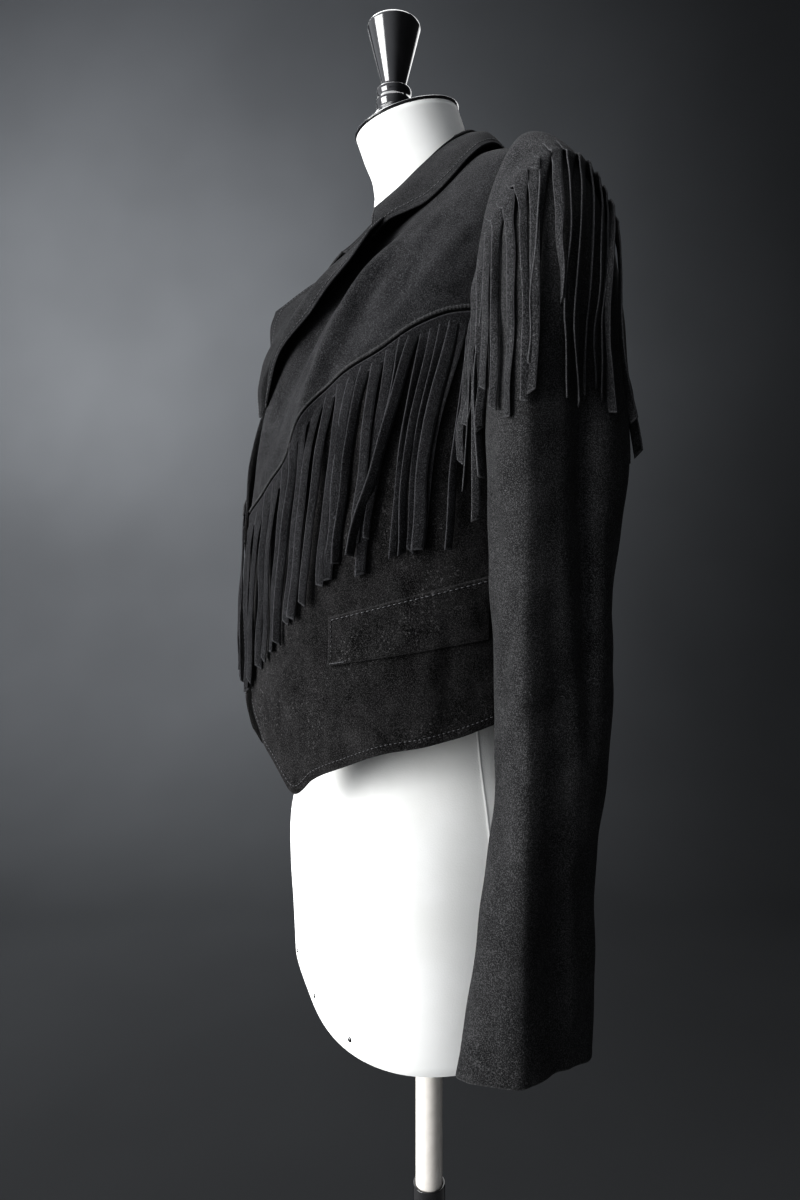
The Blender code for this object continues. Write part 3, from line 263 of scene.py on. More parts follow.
def crease_relief(rows, turn, height, degree):
    """The sum of the bells. degree is the length of a degree of turn, so that a place's
    distance aside from the line, and its share along it, are worked out in metres."""
    total = np.zeros(np.broadcast(turn, height).shape)
    for turn_a, height_a, turn_b, height_b, rise, width, bow in zip(*rows.values()):
        along_x, along_z = (turn_b - turn_a) * degree, height_b - height_a
        long = np.hypot(along_x, along_z)
        away_x = ((turn - turn_a + 180) % 360 - 180) * degree
        away_z = height - height_a
        share = (away_x * along_x + away_z * along_z) / long**2
        bowed = bow * np.sin(pi * np.clip(share, 0, 1))
        aside = (away_x * along_z - away_z * along_x) / long + bowed
        total += rise * np.exp(-(aside / width) ** 2) * np.exp(
            -(CREASE_FADE * (share - 0.5)) ** 4)
    return total


def unevenness(turn, height):
    """Slow waves that cross at odd angles, whole in number round the body."""
    a = np.radians(turn)
    return (0.0006 * np.sin(5 * a + 31 * height) + 0.0005 * np.sin(9 * a - 47 * height + 1.3)
            + 0.00035 * np.sin(17 * a + 83 * height + 0.5) + 0.0002 * np.sin(31 * a - 140 * height))


BODY_DEGREE = 0.0028        # length of a degree of turn
FREE_BELOW, HELD_ABOVE = 1.46, 1.52         # heights between which the cloth comes to lie still


def body_relief(turn, height):
    """All that lifts or sinks the jacket's body. It fades out where the cloth lies on the form."""
    free = 1 - soft_step(height, FREE_BELOW, HELD_ABOVE)
    creases = crease_relief(BODY_CREASES, turn, height, BODY_DEGREE)
    return free * (creases + unevenness(turn, height))


def cloth(turn, height, out=0.0, side=1):
    """A point of the jacket's outer face, moved out of it, as on the wearer's left. side -1
    takes the creases of the wearer's right, which is mirrored when its mesh is made."""
    turn, height = np.broadcast_arrays(np.asarray(turn, float), np.asarray(height, float))
    lift = body_relief(side * turn, height) + out
    return girth_point(JACKET, turn, height) + lift[..., None] * girth_normal(JACKET, turn, height)


relief = body_relief(*np.meshgrid(np.linspace(-180, 180, 361), np.linspace(1.06, 1.5, 200)))
print("creases from %.1f to %.1f mm" % (1000 * relief.min(), 1000 * relief.max()))

# %% [markdown]
# ## A sheet with rounded edges
#
# A cut or turned edge of suede is round, and catches a thin line of light. So a sheet here is
# two skins that meet at the edges: both lie half a thickness from the sheet's middle, and close
# to an edge that distance shrinks along a quarter of a circle. The mesh is closed and needs no
# rim. How far each point is from an edge is kept with it, for the finish to read: the finish
# paints the nap lighter there, as wear and as a painted edge highlight.


# %% Nets of points and their faces
def net_normal(skin, closed=False):
    """Outward directions of a net whose rows run upward and whose columns run leftward."""
    if closed:
        across = np.roll(skin, -1, axis=1) - np.roll(skin, 1, axis=1)
    else:
        across = np.gradient(skin, axis=1)
    return unit(np.cross(across, np.gradient(skin, axis=0)))


def wrapped(net):
    """A net whose first column comes again after its last."""
    return np.concatenate([net, net[:, :1]], axis=1)


def tube_net(rows, columns):
    """The point numbers of rings of points, one ring to a row."""
    return wrapped(np.arange(rows * columns).reshape(rows, columns))


def quads(net):
    """A face between each four neighbours of a net of point numbers."""
    return np.stack([net[:-1, :-1], net[:-1, 1:], net[1:, 1:], net[1:, :-1]], -1).reshape(-1, 4)


OTHER_WAY_ROUND = [0, 3, 2, 1]              # the corners of a face that is to look the other way


def walked(skin, axis):
    """Lengths walked along the net's lines from each of their two ends, the smaller of both."""
    step = np.linalg.norm(np.diff(skin, axis=axis), axis=-1)
    start = np.insert(np.cumsum(step, axis=axis), 0, 0, axis=axis)
    whole = start.max(axis=axis, keepdims=True)
    return np.minimum(start, whole - start)


print("a net of 3 by 4 points has", len(quads(np.arange(12).reshape(3, 4))), "faces")


# %% A sheet as two skins
def sheet_arrays(skin, outward, thick, closed=False, sewn_root=False):
    """Points, faces and edge distances of a closed sheet. With a sewn root, the distances are
    to the free edges only, and not to the first column.

    A point of the outer face is the sheet's middle plus h times the outward direction, with
    h = thick/2 * sqrt(1 - (1 - d/(thick/2))^2) at a distance d under thick/2 from an edge.
    """
    rows, columns = skin.shape[:2]
    edge = walked(skin, 0)
    if not closed:
        edge = np.minimum(edge, walked(skin, 1))
    half = thick / 2
    near = 1 - np.clip(edge / half, 0, 1)
    offset = (half * np.sqrt(1 - near**2))[..., None] * outward
    middle = skin - half * outward
    outer = np.arange(rows * columns).reshape(rows, columns)
    rim = edge < 1e-9
    inner = outer.copy()
    inner[~rim] = rows * columns + np.arange((~rim).sum())
    if sewn_root:
        step = np.linalg.norm(np.diff(skin[:, ::-1], axis=1), axis=-1)
        from_free_edge = np.insert(np.cumsum(step, axis=1), 0, 0, axis=1)[:, ::-1]
        edge = np.minimum(walked(skin, 0), from_free_edge)
    points = np.concatenate([(middle + offset).reshape(-1, 3), (middle - offset)[~rim]])
    if closed:
        outer, inner = wrapped(outer), wrapped(inner)
    faces = np.concatenate([quads(outer), quads(inner)[:, ::-1]])
    return points, faces, np.concatenate([edge.reshape(-1), edge[~rim]])


print("a sheet's outer face lies", SUEDE * 500, "mm out from its middle")


# %% Meshes from arrays
def join(parts):
    """Several (points, faces, values) as one."""
    points, faces, values, shift = [], [], [], 0
    for some_points, some_faces, some_values in parts:
        points.append(some_points)
        faces.append(np.asarray(some_faces) + shift)
        values.append(some_values)
        shift += len(some_points)
    return np.concatenate(points), np.concatenate(faces), np.concatenate(values)


COUNTS = {}


def make(name, points, faces, side=1, values=None, finish=None):
    """A mesh object from arrays. side -1 mirrors it to the wearer's right and turns its faces.
    values are kept on its points as the attribute "edge"."""
    points = np.asarray(points, float)
    faces = np.asarray(faces)
    if side < 0:
        points = points * np.array([-1.0, 1.0, 1.0])
        faces = faces[:, ::-1]
    mesh = bpy.data.meshes.new(name)
    mesh.vertices.add(len(points))
    mesh.vertices.foreach_set("co", points.ravel())
    corners = faces.shape[1]
    mesh.loops.add(faces.size)
    mesh.loops.foreach_set("vertex_index", faces.ravel())
    mesh.polygons.add(len(faces))
    mesh.polygons.foreach_set("loop_start", np.arange(0, faces.size, corners))
    mesh.polygons.foreach_set("use_smooth", np.ones(len(faces), bool))
    mesh.update(calc_edges=True)
    mesh.validate()
    if values is not None:
        mesh.attributes.new("edge", "FLOAT", "POINT").data.foreach_set(
            "value", np.asarray(values, np.float32))
    thing = bpy.data.objects.new(name, mesh)
    bpy.context.scene.collection.objects.link(thing)
    if finish:
        mesh.materials.append(finish)
    COUNTS[name] = len(faces) * (corners - 2)
    return thing


def dress(piece, node):
    """The piece rides on the one body and stands for its solid, if it has one, which is hidden."""
    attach(piece, "root")
    if node:
        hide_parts(node)
    return piece


def half_area(piece):
    """Half of a closed sheet's area, which is the area of the cloth in it."""
    return sum(face.area for face in piece.data.polygons) / 2


one_face = (np.zeros((4, 3)), [[0, 1, 2, 3]], np.zeros(4))
print("two faces joined:", join([one_face, one_face])[1].tolist())

# %% [markdown]
# ## Suede
#
# Suede is a napped skin: short fibres that stand up in clumps. Close to, it is a fine speckle;
# from further off, cloudy patches where hands have brushed the nap one way or the other. Fibre
# tips scatter light sideways, which is what the shader's sheen does. The nap is built once, as
# a node group, and each finish sets how coarse, how cloudy and how dusty it is.


# %% Shader nodes in one call
def node(tree, kind, inputs=None, **settings):
    """A node with its settings. An input given as a socket is linked, otherwise it is set."""
    made = tree.nodes.new("ShaderNode" + kind)
    for name, value in settings.items():
        setattr(made, name, value)
    for key, value in (inputs or {}).items():
        if isinstance(value, bpy.types.NodeSocket):
            tree.links.new(value, made.inputs[key])
        else:
            made.inputs[key].default_value = value
    return made


def sums(tree, operation, *values):
    """A Math node's result."""
    return node(tree, "Math", dict(enumerate(values)), operation=operation).outputs[0]


def plus(tree, total, *others):
    """The sum of sockets and numbers."""
    for other in others:
        total = sums(tree, "ADD", total, other)
    return total


def times(tree, product, *others):
    """The product of sockets and numbers."""
    for other in others:
        product = sums(tree, "MULTIPLY", product, other)
    return product


def band(tree, value, low, high, to_low=0.0, to_high=1.0):
    """The value carried smoothly from low..high to to_low..to_high."""
    return node(tree, "MapRange", {"Value": value, "From Min": low, "From Max": high,
                                   "To Min": to_low, "To Max": to_high},
                interpolation_type="SMOOTHSTEP").outputs["Result"]


def noise(tree, place, scale, detail=2.0, rough=0.5, distortion=0.0):
    """A 3-D noise. scale is in clumps to the metre."""
    return node(tree, "TexNoise", {"Vector": place, "Scale": scale, "Detail": detail,
                                   "Roughness": rough, "Distortion": distortion}).outputs["Fac"]


print("helpers:", [helper.__name__ for helper in (node, sums, plus, times, band, noise)])


# %% Materials and node groups
def new_material(name):
    """A material, its node tree, its shader, and Object coordinates to lay a pattern on."""
    made = bpy.data.materials.new(name)
    made.use_nodes = True
    tree = made.node_tree
    return made, tree, tree.nodes["Principled BSDF"], node(tree, "TexCoord").outputs["Object"]


def hold(shader, values):
    """Constants on the shader's own sockets."""
    for name, value in values.items():
        shader.inputs[name].default_value = value


def group(name, inputs, outputs):
    """A node group with named sockets: {name: (kind, default)} and {name: kind}."""
    tree = bpy.data.node_groups.new(name, "ShaderNodeTree")
    for label, (kind, default) in inputs.items():
        socket = tree.interface.new_socket(label, in_out="INPUT", socket_type="NodeSocket" + kind)
        if default is not None:
            socket.default_value = default
    for label, kind in outputs.items():
        tree.interface.new_socket(label, in_out="OUTPUT", socket_type="NodeSocket" + kind)
    return tree, tree.nodes.new("NodeGroupInput").outputs, tree.nodes.new("NodeGroupOutput")


def close_group(tree, end, **results):
    """Links the results to the group's outputs."""
    for label, socket in results.items():
        tree.links.new(socket, end.inputs[label])
    return tree


print("helpers:", [helper.__name__ for helper in (new_material, hold, group, close_group)])


# %% The nap, as a node group
def nap_group():
    """Tone is about 1 and says how light the nap is; Height is for bump."""
    tree, given, end = group(
        "suede nap",
        {"Place": ("Vector", None), "Grain": ("Float", 800.0), "Speckle": ("Float", 0.4),
         "Cloud": ("Float", 0.3), "Dust": ("Float", 0.3)},
        {"Tone": "Float", "Height": "Float", "Roughness": "Float"})
    place = given["Place"]
    grain = noise(tree, place, given["Grain"], 2.0, 0.7)
    fibre = noise(tree, place, times(tree, given["Grain"], 2.7), 1.0, 0.5)
    speckle = times(tree, band(tree, grain, 0.44, 0.66, -0.55, 1.5), given["Speckle"])
    clouds = noise(tree, place, 34.0, 4.0, 0.62, 0.5)
    tall = node(tree, "Mapping", {"Vector": place, "Scale": (95.0, 95.0, 30.0)}).outputs[0]
    brushed = noise(tree, tall, 1.0, 2.0, 0.55)
    patches = plus(tree, times(tree, clouds, 0.65), times(tree, brushed, 0.35), -0.5)
    cloud = times(tree, patches, given["Cloud"], 4.0)
    fleck = node(tree, "TexVoronoi", {"Vector": place, "Scale": 950.0}).outputs["Color"]
    where = band(tree, noise(tree, place, 21.0, 3.0, 0.6), 0.42, 0.68)
    dust = times(tree, band(tree, fleck, 0.74, 0.95), where, given["Dust"])
    tone = plus(tree, 1.0, speckle, cloud, dust)
    height = plus(tree, grain, times(tree, fibre, 0.5))
    rough = plus(tree, 0.97, times(tree, clouds, -0.12))
    return close_group(tree, end, Tone=sums(tree, "MAXIMUM", tone, 0.15), Height=height,
                       Roughness=rough)


NAP = nap_group()


def sewn_edge_group():
    """The first result is 1 along a cut or turned edge, and breaks up: the nap is painted lighter
    there, as wear and as a painted edge highlight; Groove dips where a seam is sewn.
    """
    tree, given, end = group(
        "worn edge", {"Place": ("Vector", None), "Edge": ("Float", 1.0), "Width": ("Float", 0.001),
                      "Seam": ("Float", 0.004)}, {"Worn": "Float", "Groove": "Float"})
    rough = noise(tree, given["Place"], 420.0, 2.0, 0.6)
    reach = times(tree, given["Width"], plus(tree, 0.4, times(tree, rough, 1.2)))
    inside = band(tree, sums(tree, "DIVIDE", given["Edge"], reach), 0.55, 1.0)
    wear_and_highlight = sums(tree, "SUBTRACT", 1.0, inside)
    aside = sums(tree, "ABSOLUTE", sums(tree, "SUBTRACT", given["Edge"], given["Seam"]))
    groove = sums(tree, "SUBTRACT", band(tree, aside, 0.0, 0.0013), 1.0)
    return close_group(tree, end, Worn=wear_and_highlight, Groove=groove)


WEAR_AND_HIGHLIGHT = sewn_edge_group()
print("node groups:", [tree.name for tree in bpy.data.node_groups])


# %% Suede finishes
WEAR_HIGHLIGHT_WIDTH = 0.0016         # how far in from a cut edge the nap is painted lighter, as wear and as a painted edge highlight
NO_SEAM = 9.0               # a distance that no point of a sheet has from its edge


def suede(name, colour, grain, speckle, cloud, dust, wear_and_highlight=0.5, bump=0.0005, seam=0.0, sheen=0.05):
    """A suede finish. Its base colour is the colour times the nap's tone, and lighter at a cut edge
    by the given amount: wear there, and a painted edge highlight. seam is how far in from the edge
    a sewn groove runs, and 0 means none."""
    made, tree, shader, place = new_material(name)
    edge = node(tree, "Attribute", attribute_name="edge").outputs["Fac"]
    nap = node(tree, "Group", {"Place": place, "Grain": grain, "Speckle": speckle,
                               "Cloud": cloud, "Dust": dust}, node_tree=NAP)
    rim = node(tree, "Group", {"Place": place, "Edge": edge, "Width": WEAR_HIGHLIGHT_WIDTH,
                               "Seam": seam or NO_SEAM}, node_tree=WEAR_AND_HIGHLIGHT)
    # The lightening at a cut edge is wear, and a painted highlight along the rounded edge.
    tone = plus(tree, nap.outputs["Tone"], times(tree, rim.outputs["Worn"], wear_and_highlight))
    base = node(tree, "VectorMath", {0: colour, "Scale": tone}, operation="SCALE").outputs[0]
    tree.links.new(base, shader.inputs["Base Color"])
    tree.links.new(nap.outputs["Roughness"], shader.inputs["Roughness"])
    height = plus(tree, nap.outputs["Height"],
                  times(tree, rim.outputs["Groove"], 1.2 if seam else 0.0))
    relief = node(tree, "Bump", {"Height": height, "Strength": 0.7, "Distance": bump})
    tree.links.new(relief.outputs[0], shader.inputs["Normal"])
    hold(shader, {"Sheen Weight": sheen, "Sheen Roughness": 0.45,
                  "Sheen Tint": (0.62, 0.63, 0.66, 1.0), "Specular IOR Level": 0.06})
    return made


FINE_SUEDE = suede("fine suede", (0.0245, 0.0245, 0.0255), 1500.0, 0.8, 0.40, 1.0, wear_and_highlight=0.0)
SLEEVE_SUEDE = suede("sleeve suede", (0.0285, 0.0285, 0.0290), 1400.0, 0.8, 0.30, 1.4, wear_and_highlight=0.6)
LOWER_SUEDE = suede("brushed suede", (0.0168, 0.0164, 0.0165), 1300.0, 0.9, 0.7, 3.0)
SEWN_SUEDE = suede("sewn suede", (0.0225, 0.0225, 0.0233), 1500.0, 0.8, 0.4, 1.0, seam=0.0035)
STRAND_SUEDE = suede("strand suede", (0.0180, 0.0180, 0.0190), 1400.0, 0.9, 0.3, 1.2, wear_and_highlight=1.4)
FRINGE_SUEDE = suede("fringe suede", (0.0280, 0.0280, 0.0290), 1300.0, 0.9, 0.3, 1.6, wear_and_highlight=1.1)
print("suedes:", [made.name for made in bpy.data.materials])


# %% [markdown]
# ## Paint, cover and thread
#
# The form is covered in white cotton over a moulded shell: matt, very slightly uneven. The neck
# cap, finial, outer tube and base are sprayed black, with the faint ripple of thick paint, and
# the pole is cream enamel. Each is one plain finish whose tone drifts a little, which keeps a
# large smooth piece from looking like plastic.

# %% The other finishes
def finish(name, colour, roughness, second, scale, ripple, ripple_scale,
           coat=0.0, specular=0.5, matt=0.0):
    """A plain finish whose colour drifts between two tones in patches of a scale, with a fine
    ripple, given in metres high and waves to the metre, as bump."""
    made, tree, shader, place = new_material(name)
    drift = noise(tree, place, scale, 3.0, 0.55)
    mixed = node(tree, "Mix", {"Factor": band(tree, drift, 0.3, 0.7), "A": (*colour, 1.0),
                               "B": (*second, 1.0)}, data_type="RGBA")
    tree.links.new(mixed.outputs["Result"], shader.inputs["Base Color"])
    tree.links.new(band(tree, drift, 0.2, 0.8, roughness * 0.9, roughness * 1.1),
                   shader.inputs["Roughness"])
    grain = noise(tree, place, ripple_scale, 2.0, 0.5)
    relief = node(tree, "Bump", {"Height": grain, "Strength": 0.5, "Distance": ripple})
    tree.links.new(relief.outputs[0], shader.inputs["Normal"])
    hold(shader, {"Coat Weight": coat, "Coat Roughness": 0.05, "Specular IOR Level": specular,
                  "Diffuse Roughness": matt})
    return made


COVER = finish("white cotton cover", (0.70, 0.70, 0.69), 0.75, (0.665, 0.665, 0.65), 22.0,
               0.0002, 900.0, specular=0.3, matt=1.0)
GLOSS_BLACK = finish("gloss black paint", (0.010, 0.010, 0.011), 0.16, (0.016, 0.016, 0.017), 60.0,
                     0.00008, 260.0, coat=0.6)
CREAM = finish("cream enamel", (0.60, 0.575, 0.54), 0.30, (0.55, 0.525, 0.49), 90.0,
               0.00006, 200.0, coat=0.4)
THREAD = finish("black thread", (0.075, 0.075, 0.078), 0.55, (0.045, 0.045, 0.048), 900.0,
                0.0002, 3000.0)
print("finishes:", [m.name for m in bpy.data.materials])


# %% [markdown]
# ## The body's panels
#
# A net of places is stretched inside four edge curves, the way a pattern piece lies between its
# seams: the rows are blended from the left and right edges, the columns from the top and bottom,
# and the four corners are counted once. The same edges are used by neighbouring panels, half a
# seam's gap back, so the seams run together all the way.

# %% A net inside four edges
def patch(bottom, top, left, right, columns, rows):
    """Places inside four edge curves, each a function from 0..1 to (turn, height)."""
    s, t = np.meshgrid(columns, rows)
    corner = [[bottom(0.0), bottom(1.0)], [top(0.0), top(1.0)]]
    made = []
    for k in range(2):
        value = (1 - t) * bottom(s)[k] + t * top(s)[k] + (1 - s) * left(t)[k] + s * right(t)[k]
        value = value - ((1 - s) * (1 - t) * corner[0][0][k] + s * (1 - t) * corner[0][1][k]
                         + (1 - s) * t * corner[1][0][k] + s * t * corner[1][1][k])
        made.append(value)
    return made


def armhole(ring_turn, shrink=1.0):
    """The armhole on the jacket's surface: 0 is its top, 90 its front and 180 its foot."""
    angle = np.radians(ring_turn)
    height = ARMHOLE_MIDDLE + shrink * ARMHOLE_RISE * np.cos(angle)
    reach = np.where(np.sin(angle) > 0, -ARMHOLE_FRONT, ARMHOLE_BACK)
    turn = 90 + shrink * reach * np.abs(np.sin(angle)) * (
        1 - ARMHOLE_FULL_FOOT * np.cos(angle))
    return turn, height


def edge_turn(height):
    """Where the front edge, or the roll line above it, runs at a height."""
    share = ease(FRONT_EDGE, "x", height) / ease(JACKET, "half_width", height)
    return np.degrees(np.arcsin(np.clip(share, 0, 1)))


def yoke_seam(turn):
    """The height of the chest seam at a turn."""
    return ease(YOKE_SEAM, "height", turn)


def seam_end():
    """Where the chest seam runs into the armhole, as a turn round the armhole."""
    ring = np.linspace(90, 130, 401)
    turn, height = armhole(ring)
    return float(ring[np.argmin(np.abs(height - yoke_seam(turn)))])


SEAM_LOW = float(YOKE_SEAM["height"][0])
SEAM_START = float(edge_turn(SEAM_LOW))
MEET = seam_end()
MEET_TURN = float(armhole(MEET)[0])
SHOULDER_END = float(armhole(0.0)[1])
ARMPIT = float(armhole(180.0)[1])
SIDE_HEM = float(ease(HEM, "height", 90.0))
print("the chest seam meets the armhole at turn %.1f" % MEET_TURN)


# %% The yoke's net
def yoke_net(columns, rows):
    """From the chest seam up to the shoulder seam, between the roll line and the armhole."""
    low = SEAM_LOW + HALF_GAP

    def bottom(s):
        turn = SEAM_START + s * (MEET_TURN - SEAM_START)
        return turn, yoke_seam(turn) + HALF_GAP

    def top(s):
        return 90 - HALF_GAP_TURN + 0 * s, SHOULDER_TOP + s * (SHOULDER_END - SHOULDER_TOP)

    def left(t):
        height = low + t * (SHOULDER_TOP - low)
        return edge_turn(height), height

    def right(t):
        turn, height = armhole(MEET * (1 - t))
        return turn, height + HALF_GAP * (1 - t)

    turn, height = patch(bottom, top, left, right, columns, rows)
    return np.minimum(turn, 90 - HALF_GAP_TURN), height


print("the yoke's seams meet at", [round(float(v), 3) for v in armhole(MEET)])

# %% The lower front's net
SEAM_SHARE = 0.86           # of the lower front's top edge, which then follows the armhole


def lower_net(columns, rows):
    """From the cut-away hem up to the chest seam and the foot of the armhole."""
    def top(s):
        s = np.asarray(s, float)
        turn = SEAM_START + np.clip(s / SEAM_SHARE, 0, 1) * (MEET_TURN - SEAM_START)
        ring = MEET + np.clip((s - SEAM_SHARE) / (1 - SEAM_SHARE), 0, 1) * (180 - MEET)
        arm_turn, arm_height = armhole(ring)
        return (np.where(s > SEAM_SHARE, arm_turn, turn) - HALF_GAP_TURN * s,
                np.where(s > SEAM_SHARE, arm_height, yoke_seam(turn)) - HALF_GAP)

    def bottom(s):
        start = HEM["turn"][0]
        turn = start + (90 - HALF_GAP_TURN - start) * s
        return turn, ease(HEM, "height", turn)

    def left(t):
        height = HEM["height"][0] + t * (SEAM_LOW - HALF_GAP - HEM["height"][0])
        share = np.clip(t * 6, 0, 1)
        return HEM["turn"][0] * (1 - share) + edge_turn(height) * share, height

    def right(t):
        return 90 - HALF_GAP_TURN + 0 * t, SIDE_HEM + t * (ARMPIT - HALF_GAP - SIDE_HEM)

    return patch(bottom, top, left, right, columns, rows)


print("the lower front reaches up to %.3f m at the side" % ARMPIT)


# %% The back's net
def back_net(columns, rows):
    """One panel from side seam to side seam, with both armholes and the neck cut out of it."""
    armpit_row, shoulder_row = 0.44, 0.90

    def side(t):
        t = np.asarray(t, float)
        along_side = SIDE_HEM + np.clip(t / armpit_row, 0, 1) * (ARMPIT - HALF_GAP - SIDE_HEM)
        ring = 180 + np.clip((t - armpit_row) / (shoulder_row - armpit_row), 0, 1) * 180
        arm_turn, arm_height = armhole(ring)
        rise = np.clip((t - shoulder_row) / (1 - shoulder_row), 0, 1)
        along_shoulder = SHOULDER_END + rise * (SHOULDER_TOP - SHOULDER_END)
        turn = np.where((t > armpit_row) & (t < shoulder_row), arm_turn, 90.0)
        height = np.where(t <= armpit_row, along_side,
                          np.where(t < shoulder_row, arm_height, along_shoulder))
        return turn + HALF_GAP_TURN, height

    def other_side(t):
        turn, height = side(t)
        return 360 - turn, height

    def bottom(s):
        turn = 90 + HALF_GAP_TURN + s * (180 - 2 * HALF_GAP_TURN)
        return turn, ease(HEM, "height", 180 - np.abs(turn - 180))

    def top(s):
        return 90 + HALF_GAP_TURN + s * (180 - 2 * HALF_GAP_TURN), SHOULDER_TOP + 0 * s

    return patch(bottom, top, side, other_side, columns, rows)


print("the back reaches from %.3f to %.3f m" % (HEM["height"][-1], SHOULDER_TOP))


# %% Panels as sheets
def panel(name, node_name, net, side, suede_finish):
    """A panel of suede over a net of places."""
    turn, height = net
    skin = cloth(turn, height, 0.0, side)
    points, faces, edge = sheet_arrays(skin, girth_normal(JACKET, turn, height), SUEDE)
    piece = make(name, points, faces, side, edge, suede_finish)
    return dress(piece, node_name)


SIDES = (("left", 1), ("right", -1))
BACK = panel("back_suede", "back", back_net(spread(130), spread(130)), 1, LOWER_SUEDE)
YOKES, LOWERS = {}, {}
for word, side in SIDES:
    YOKES[word] = panel("yoke_suede_" + word, "front_yoke_" + word,
                        yoke_net(spread(96), spread(120)), side, FINE_SUEDE)
    LOWERS[word] = panel("lower_front_suede_" + word, "front_lower_" + word,
                         lower_net(spread(110), spread(96)), side, LOWER_SUEDE)
print("cloth in the back: %.3f m2, a yoke: %.3f m2, a lower front: %.3f m2"
      % (half_area(BACK), half_area(YOKES["left"]), half_area(LOWERS["left"])))

# %% [markdown]
# ## Sleeves
#
# A sleeve is a tube set into the armhole. Its rings are tilted ovals that settle from the slant
# of the armhole to level at the cuff, and a smooth curve is drawn through the rings. A suede
# sleeve hangs almost straight and keeps one deep fold below the shoulder and small ones where
# the elbow bends. They are lines in the sleeve's own places: a turn round it, 0 outermost and
# 90 to the front, and a height.

# %% The sleeve's sizes and creases
SLEEVE = table(
    "outer_x outer_z inner_x inner_z front back",
    (0.196, 1.5330, 0.1925, 1.346, -0.0250, 0.0520),
    (0.222, 1.5185, 0.1950, 1.338, -0.0270, 0.0565),
    (0.246, 1.4930, 0.1965, 1.328, -0.0295, 0.0610),
    (0.263, 1.4470, 0.1975, 1.315, -0.0320, 0.0635),
    (0.272, 1.3850, 0.1985, 1.298, -0.0340, 0.0650),
    (0.274, 1.3220, 0.1990, 1.275, -0.0350, 0.0635),
    (0.273, 1.262, 0.2000, 1.245, -0.0345, 0.0580),
    (0.272, 1.205, 0.2005, 1.205, -0.0330, 0.0540),
    (0.270, 1.145, 0.2015, 1.145, -0.0290, 0.0498),
    (0.268, 1.090, 0.2028, 1.090, -0.0285, 0.0462),
    (0.265, 1.030, 0.2040, 1.030, -0.0355, 0.0418),
    (0.264, 0.970, 0.2050, 0.970, -0.0430, 0.0400),
    (0.263, 0.902, 0.2070, 0.894, -0.0565, 0.0412))
SLEEVE_CREASES = {
    1: table(CREASE_NAMES,
             (-4.0, 1.400, -26.0, 1.130, -0.0062, 0.0095, 0.004),
             (14.0, 1.350, 2.0, 1.160, 0.0026, 0.0110, 0.003),
             (-30.0, 1.360, -46.0, 1.150, 0.0006, 0.0120, 0.004),
             (58.0, 1.200, 84.0, 1.150, -0.0020, 0.0060, -0.003),
             (40.0, 1.150, 76.0, 1.118, 0.0018, 0.0080, 0.004),
             (66.0, 1.110, 30.0, 1.085, -0.0016, 0.0070, 0.003),
             (20.0, 1.060, -6.0, 0.960, -0.0018, 0.0130, -0.004),
             (-60.0, 1.240, -90.0, 1.150, -0.0024, 0.0090, 0.004),
             (-100.0, 1.190, -70.0, 1.080, 0.0022, 0.0120, 0.003),
             (-40.0, 1.040, -62.0, 0.930, -0.0020, 0.0120, 0.003),
             (60.0, 1.020, 48.0, 0.930, 0.0018, 0.0140, 0.003),
             (95.0, 1.330, 84.0, 1.230, -0.0022, 0.0100, 0.002)),
    -1: table(CREASE_NAMES,
              (2.0, 1.380, -20.0, 1.140, -0.0056, 0.0100, -0.004),
              (20.0, 1.330, 8.0, 1.170, 0.0024, 0.0110, 0.002),
              (-26.0, 1.340, -42.0, 1.130, 0.0026, 0.0120, -0.003),
              (50.0, 1.190, 88.0, 1.160, -0.0024, 0.0070, 0.003),
              (70.0, 1.140, 34.0, 1.110, 0.0018, 0.0080, -0.003),
              (12.0, 1.070, -12.0, 0.950, -0.0020, 0.0130, 0.004),
              (-64.0, 1.230, -92.0, 1.130, -0.0026, 0.0100, 0.003),
              (-44.0, 1.030, -58.0, 0.940, -0.0018, 0.0120, -0.003),
              (64.0, 1.010, 50.0, 0.920, 0.0020, 0.0130, 0.002))}
SLEEVE_DEGREE = 0.00075     # length of a degree of turn
# A hanging sleeve is flattened on its outer side, and meets its front in a soft upright ridge.
SLEEVE_RIDGE = table("height turn", (0.90, 20.0), (0.97, 30.0), (1.03, 37.0), (1.09, 46.0),
                     (1.16, 47.0), (1.26, 43.0), (1.34, 44.0), (1.42, 34.0), (1.60, 30.0))
SLEEVE_FLAT = table("away lift", (-150, 0.0), (-105, -0.0012), (-80, -0.0042), (-60, -0.0068),
                    (-40, -0.0082), (-25, -0.0058), (-11, -0.0004), (0, 0.0034), (10, 0.0024),
                    (22, 0.0), (38, -0.0012), (60, 0.0), (150, 0.0))
SLEEVE_RINGS = len(SLEEVE["outer_x"]) + 1
SLEEVE_EGG, EGG_RINGS = 0.26, 5             # narrower outside at its head, over so many rings
print("a sleeve has", SLEEVE_RINGS, "rings and", len(SLEEVE_CREASES[1]["rise"]), "creases")


# %% The sleeve's surface
def sleeve_levels(turn, side):
    """The armhole and the rings under it, as points round each. A ring's point is its middle,
    plus the cosine of the turn towards its outermost point, less the sine times its depth."""
    angle = np.radians(turn)
    levels = [cloth(*armhole(turn, 0.9965), 0.0, side)]
    for k, (outer_x, outer_z, inner_x, inner_z, front, back) in enumerate(zip(*SLEEVE.values())):
        outer, inner = np.array([outer_x, 0, outer_z]), np.array([inner_x, 0, inner_z])
        middle = (outer + inner) / 2 + np.array([0, (front + back) / 2, 0])
        level = middle + np.outer(np.cos(angle), (outer - inner) / 2)
        narrow = 1 - SLEEVE_EGG * max(0.0, 1 - k / EGG_RINGS) * np.cos(angle)
        level[:, 1] -= narrow * np.sin(angle) * (back - front) / 2
        levels.append(level)
    return np.array(levels)


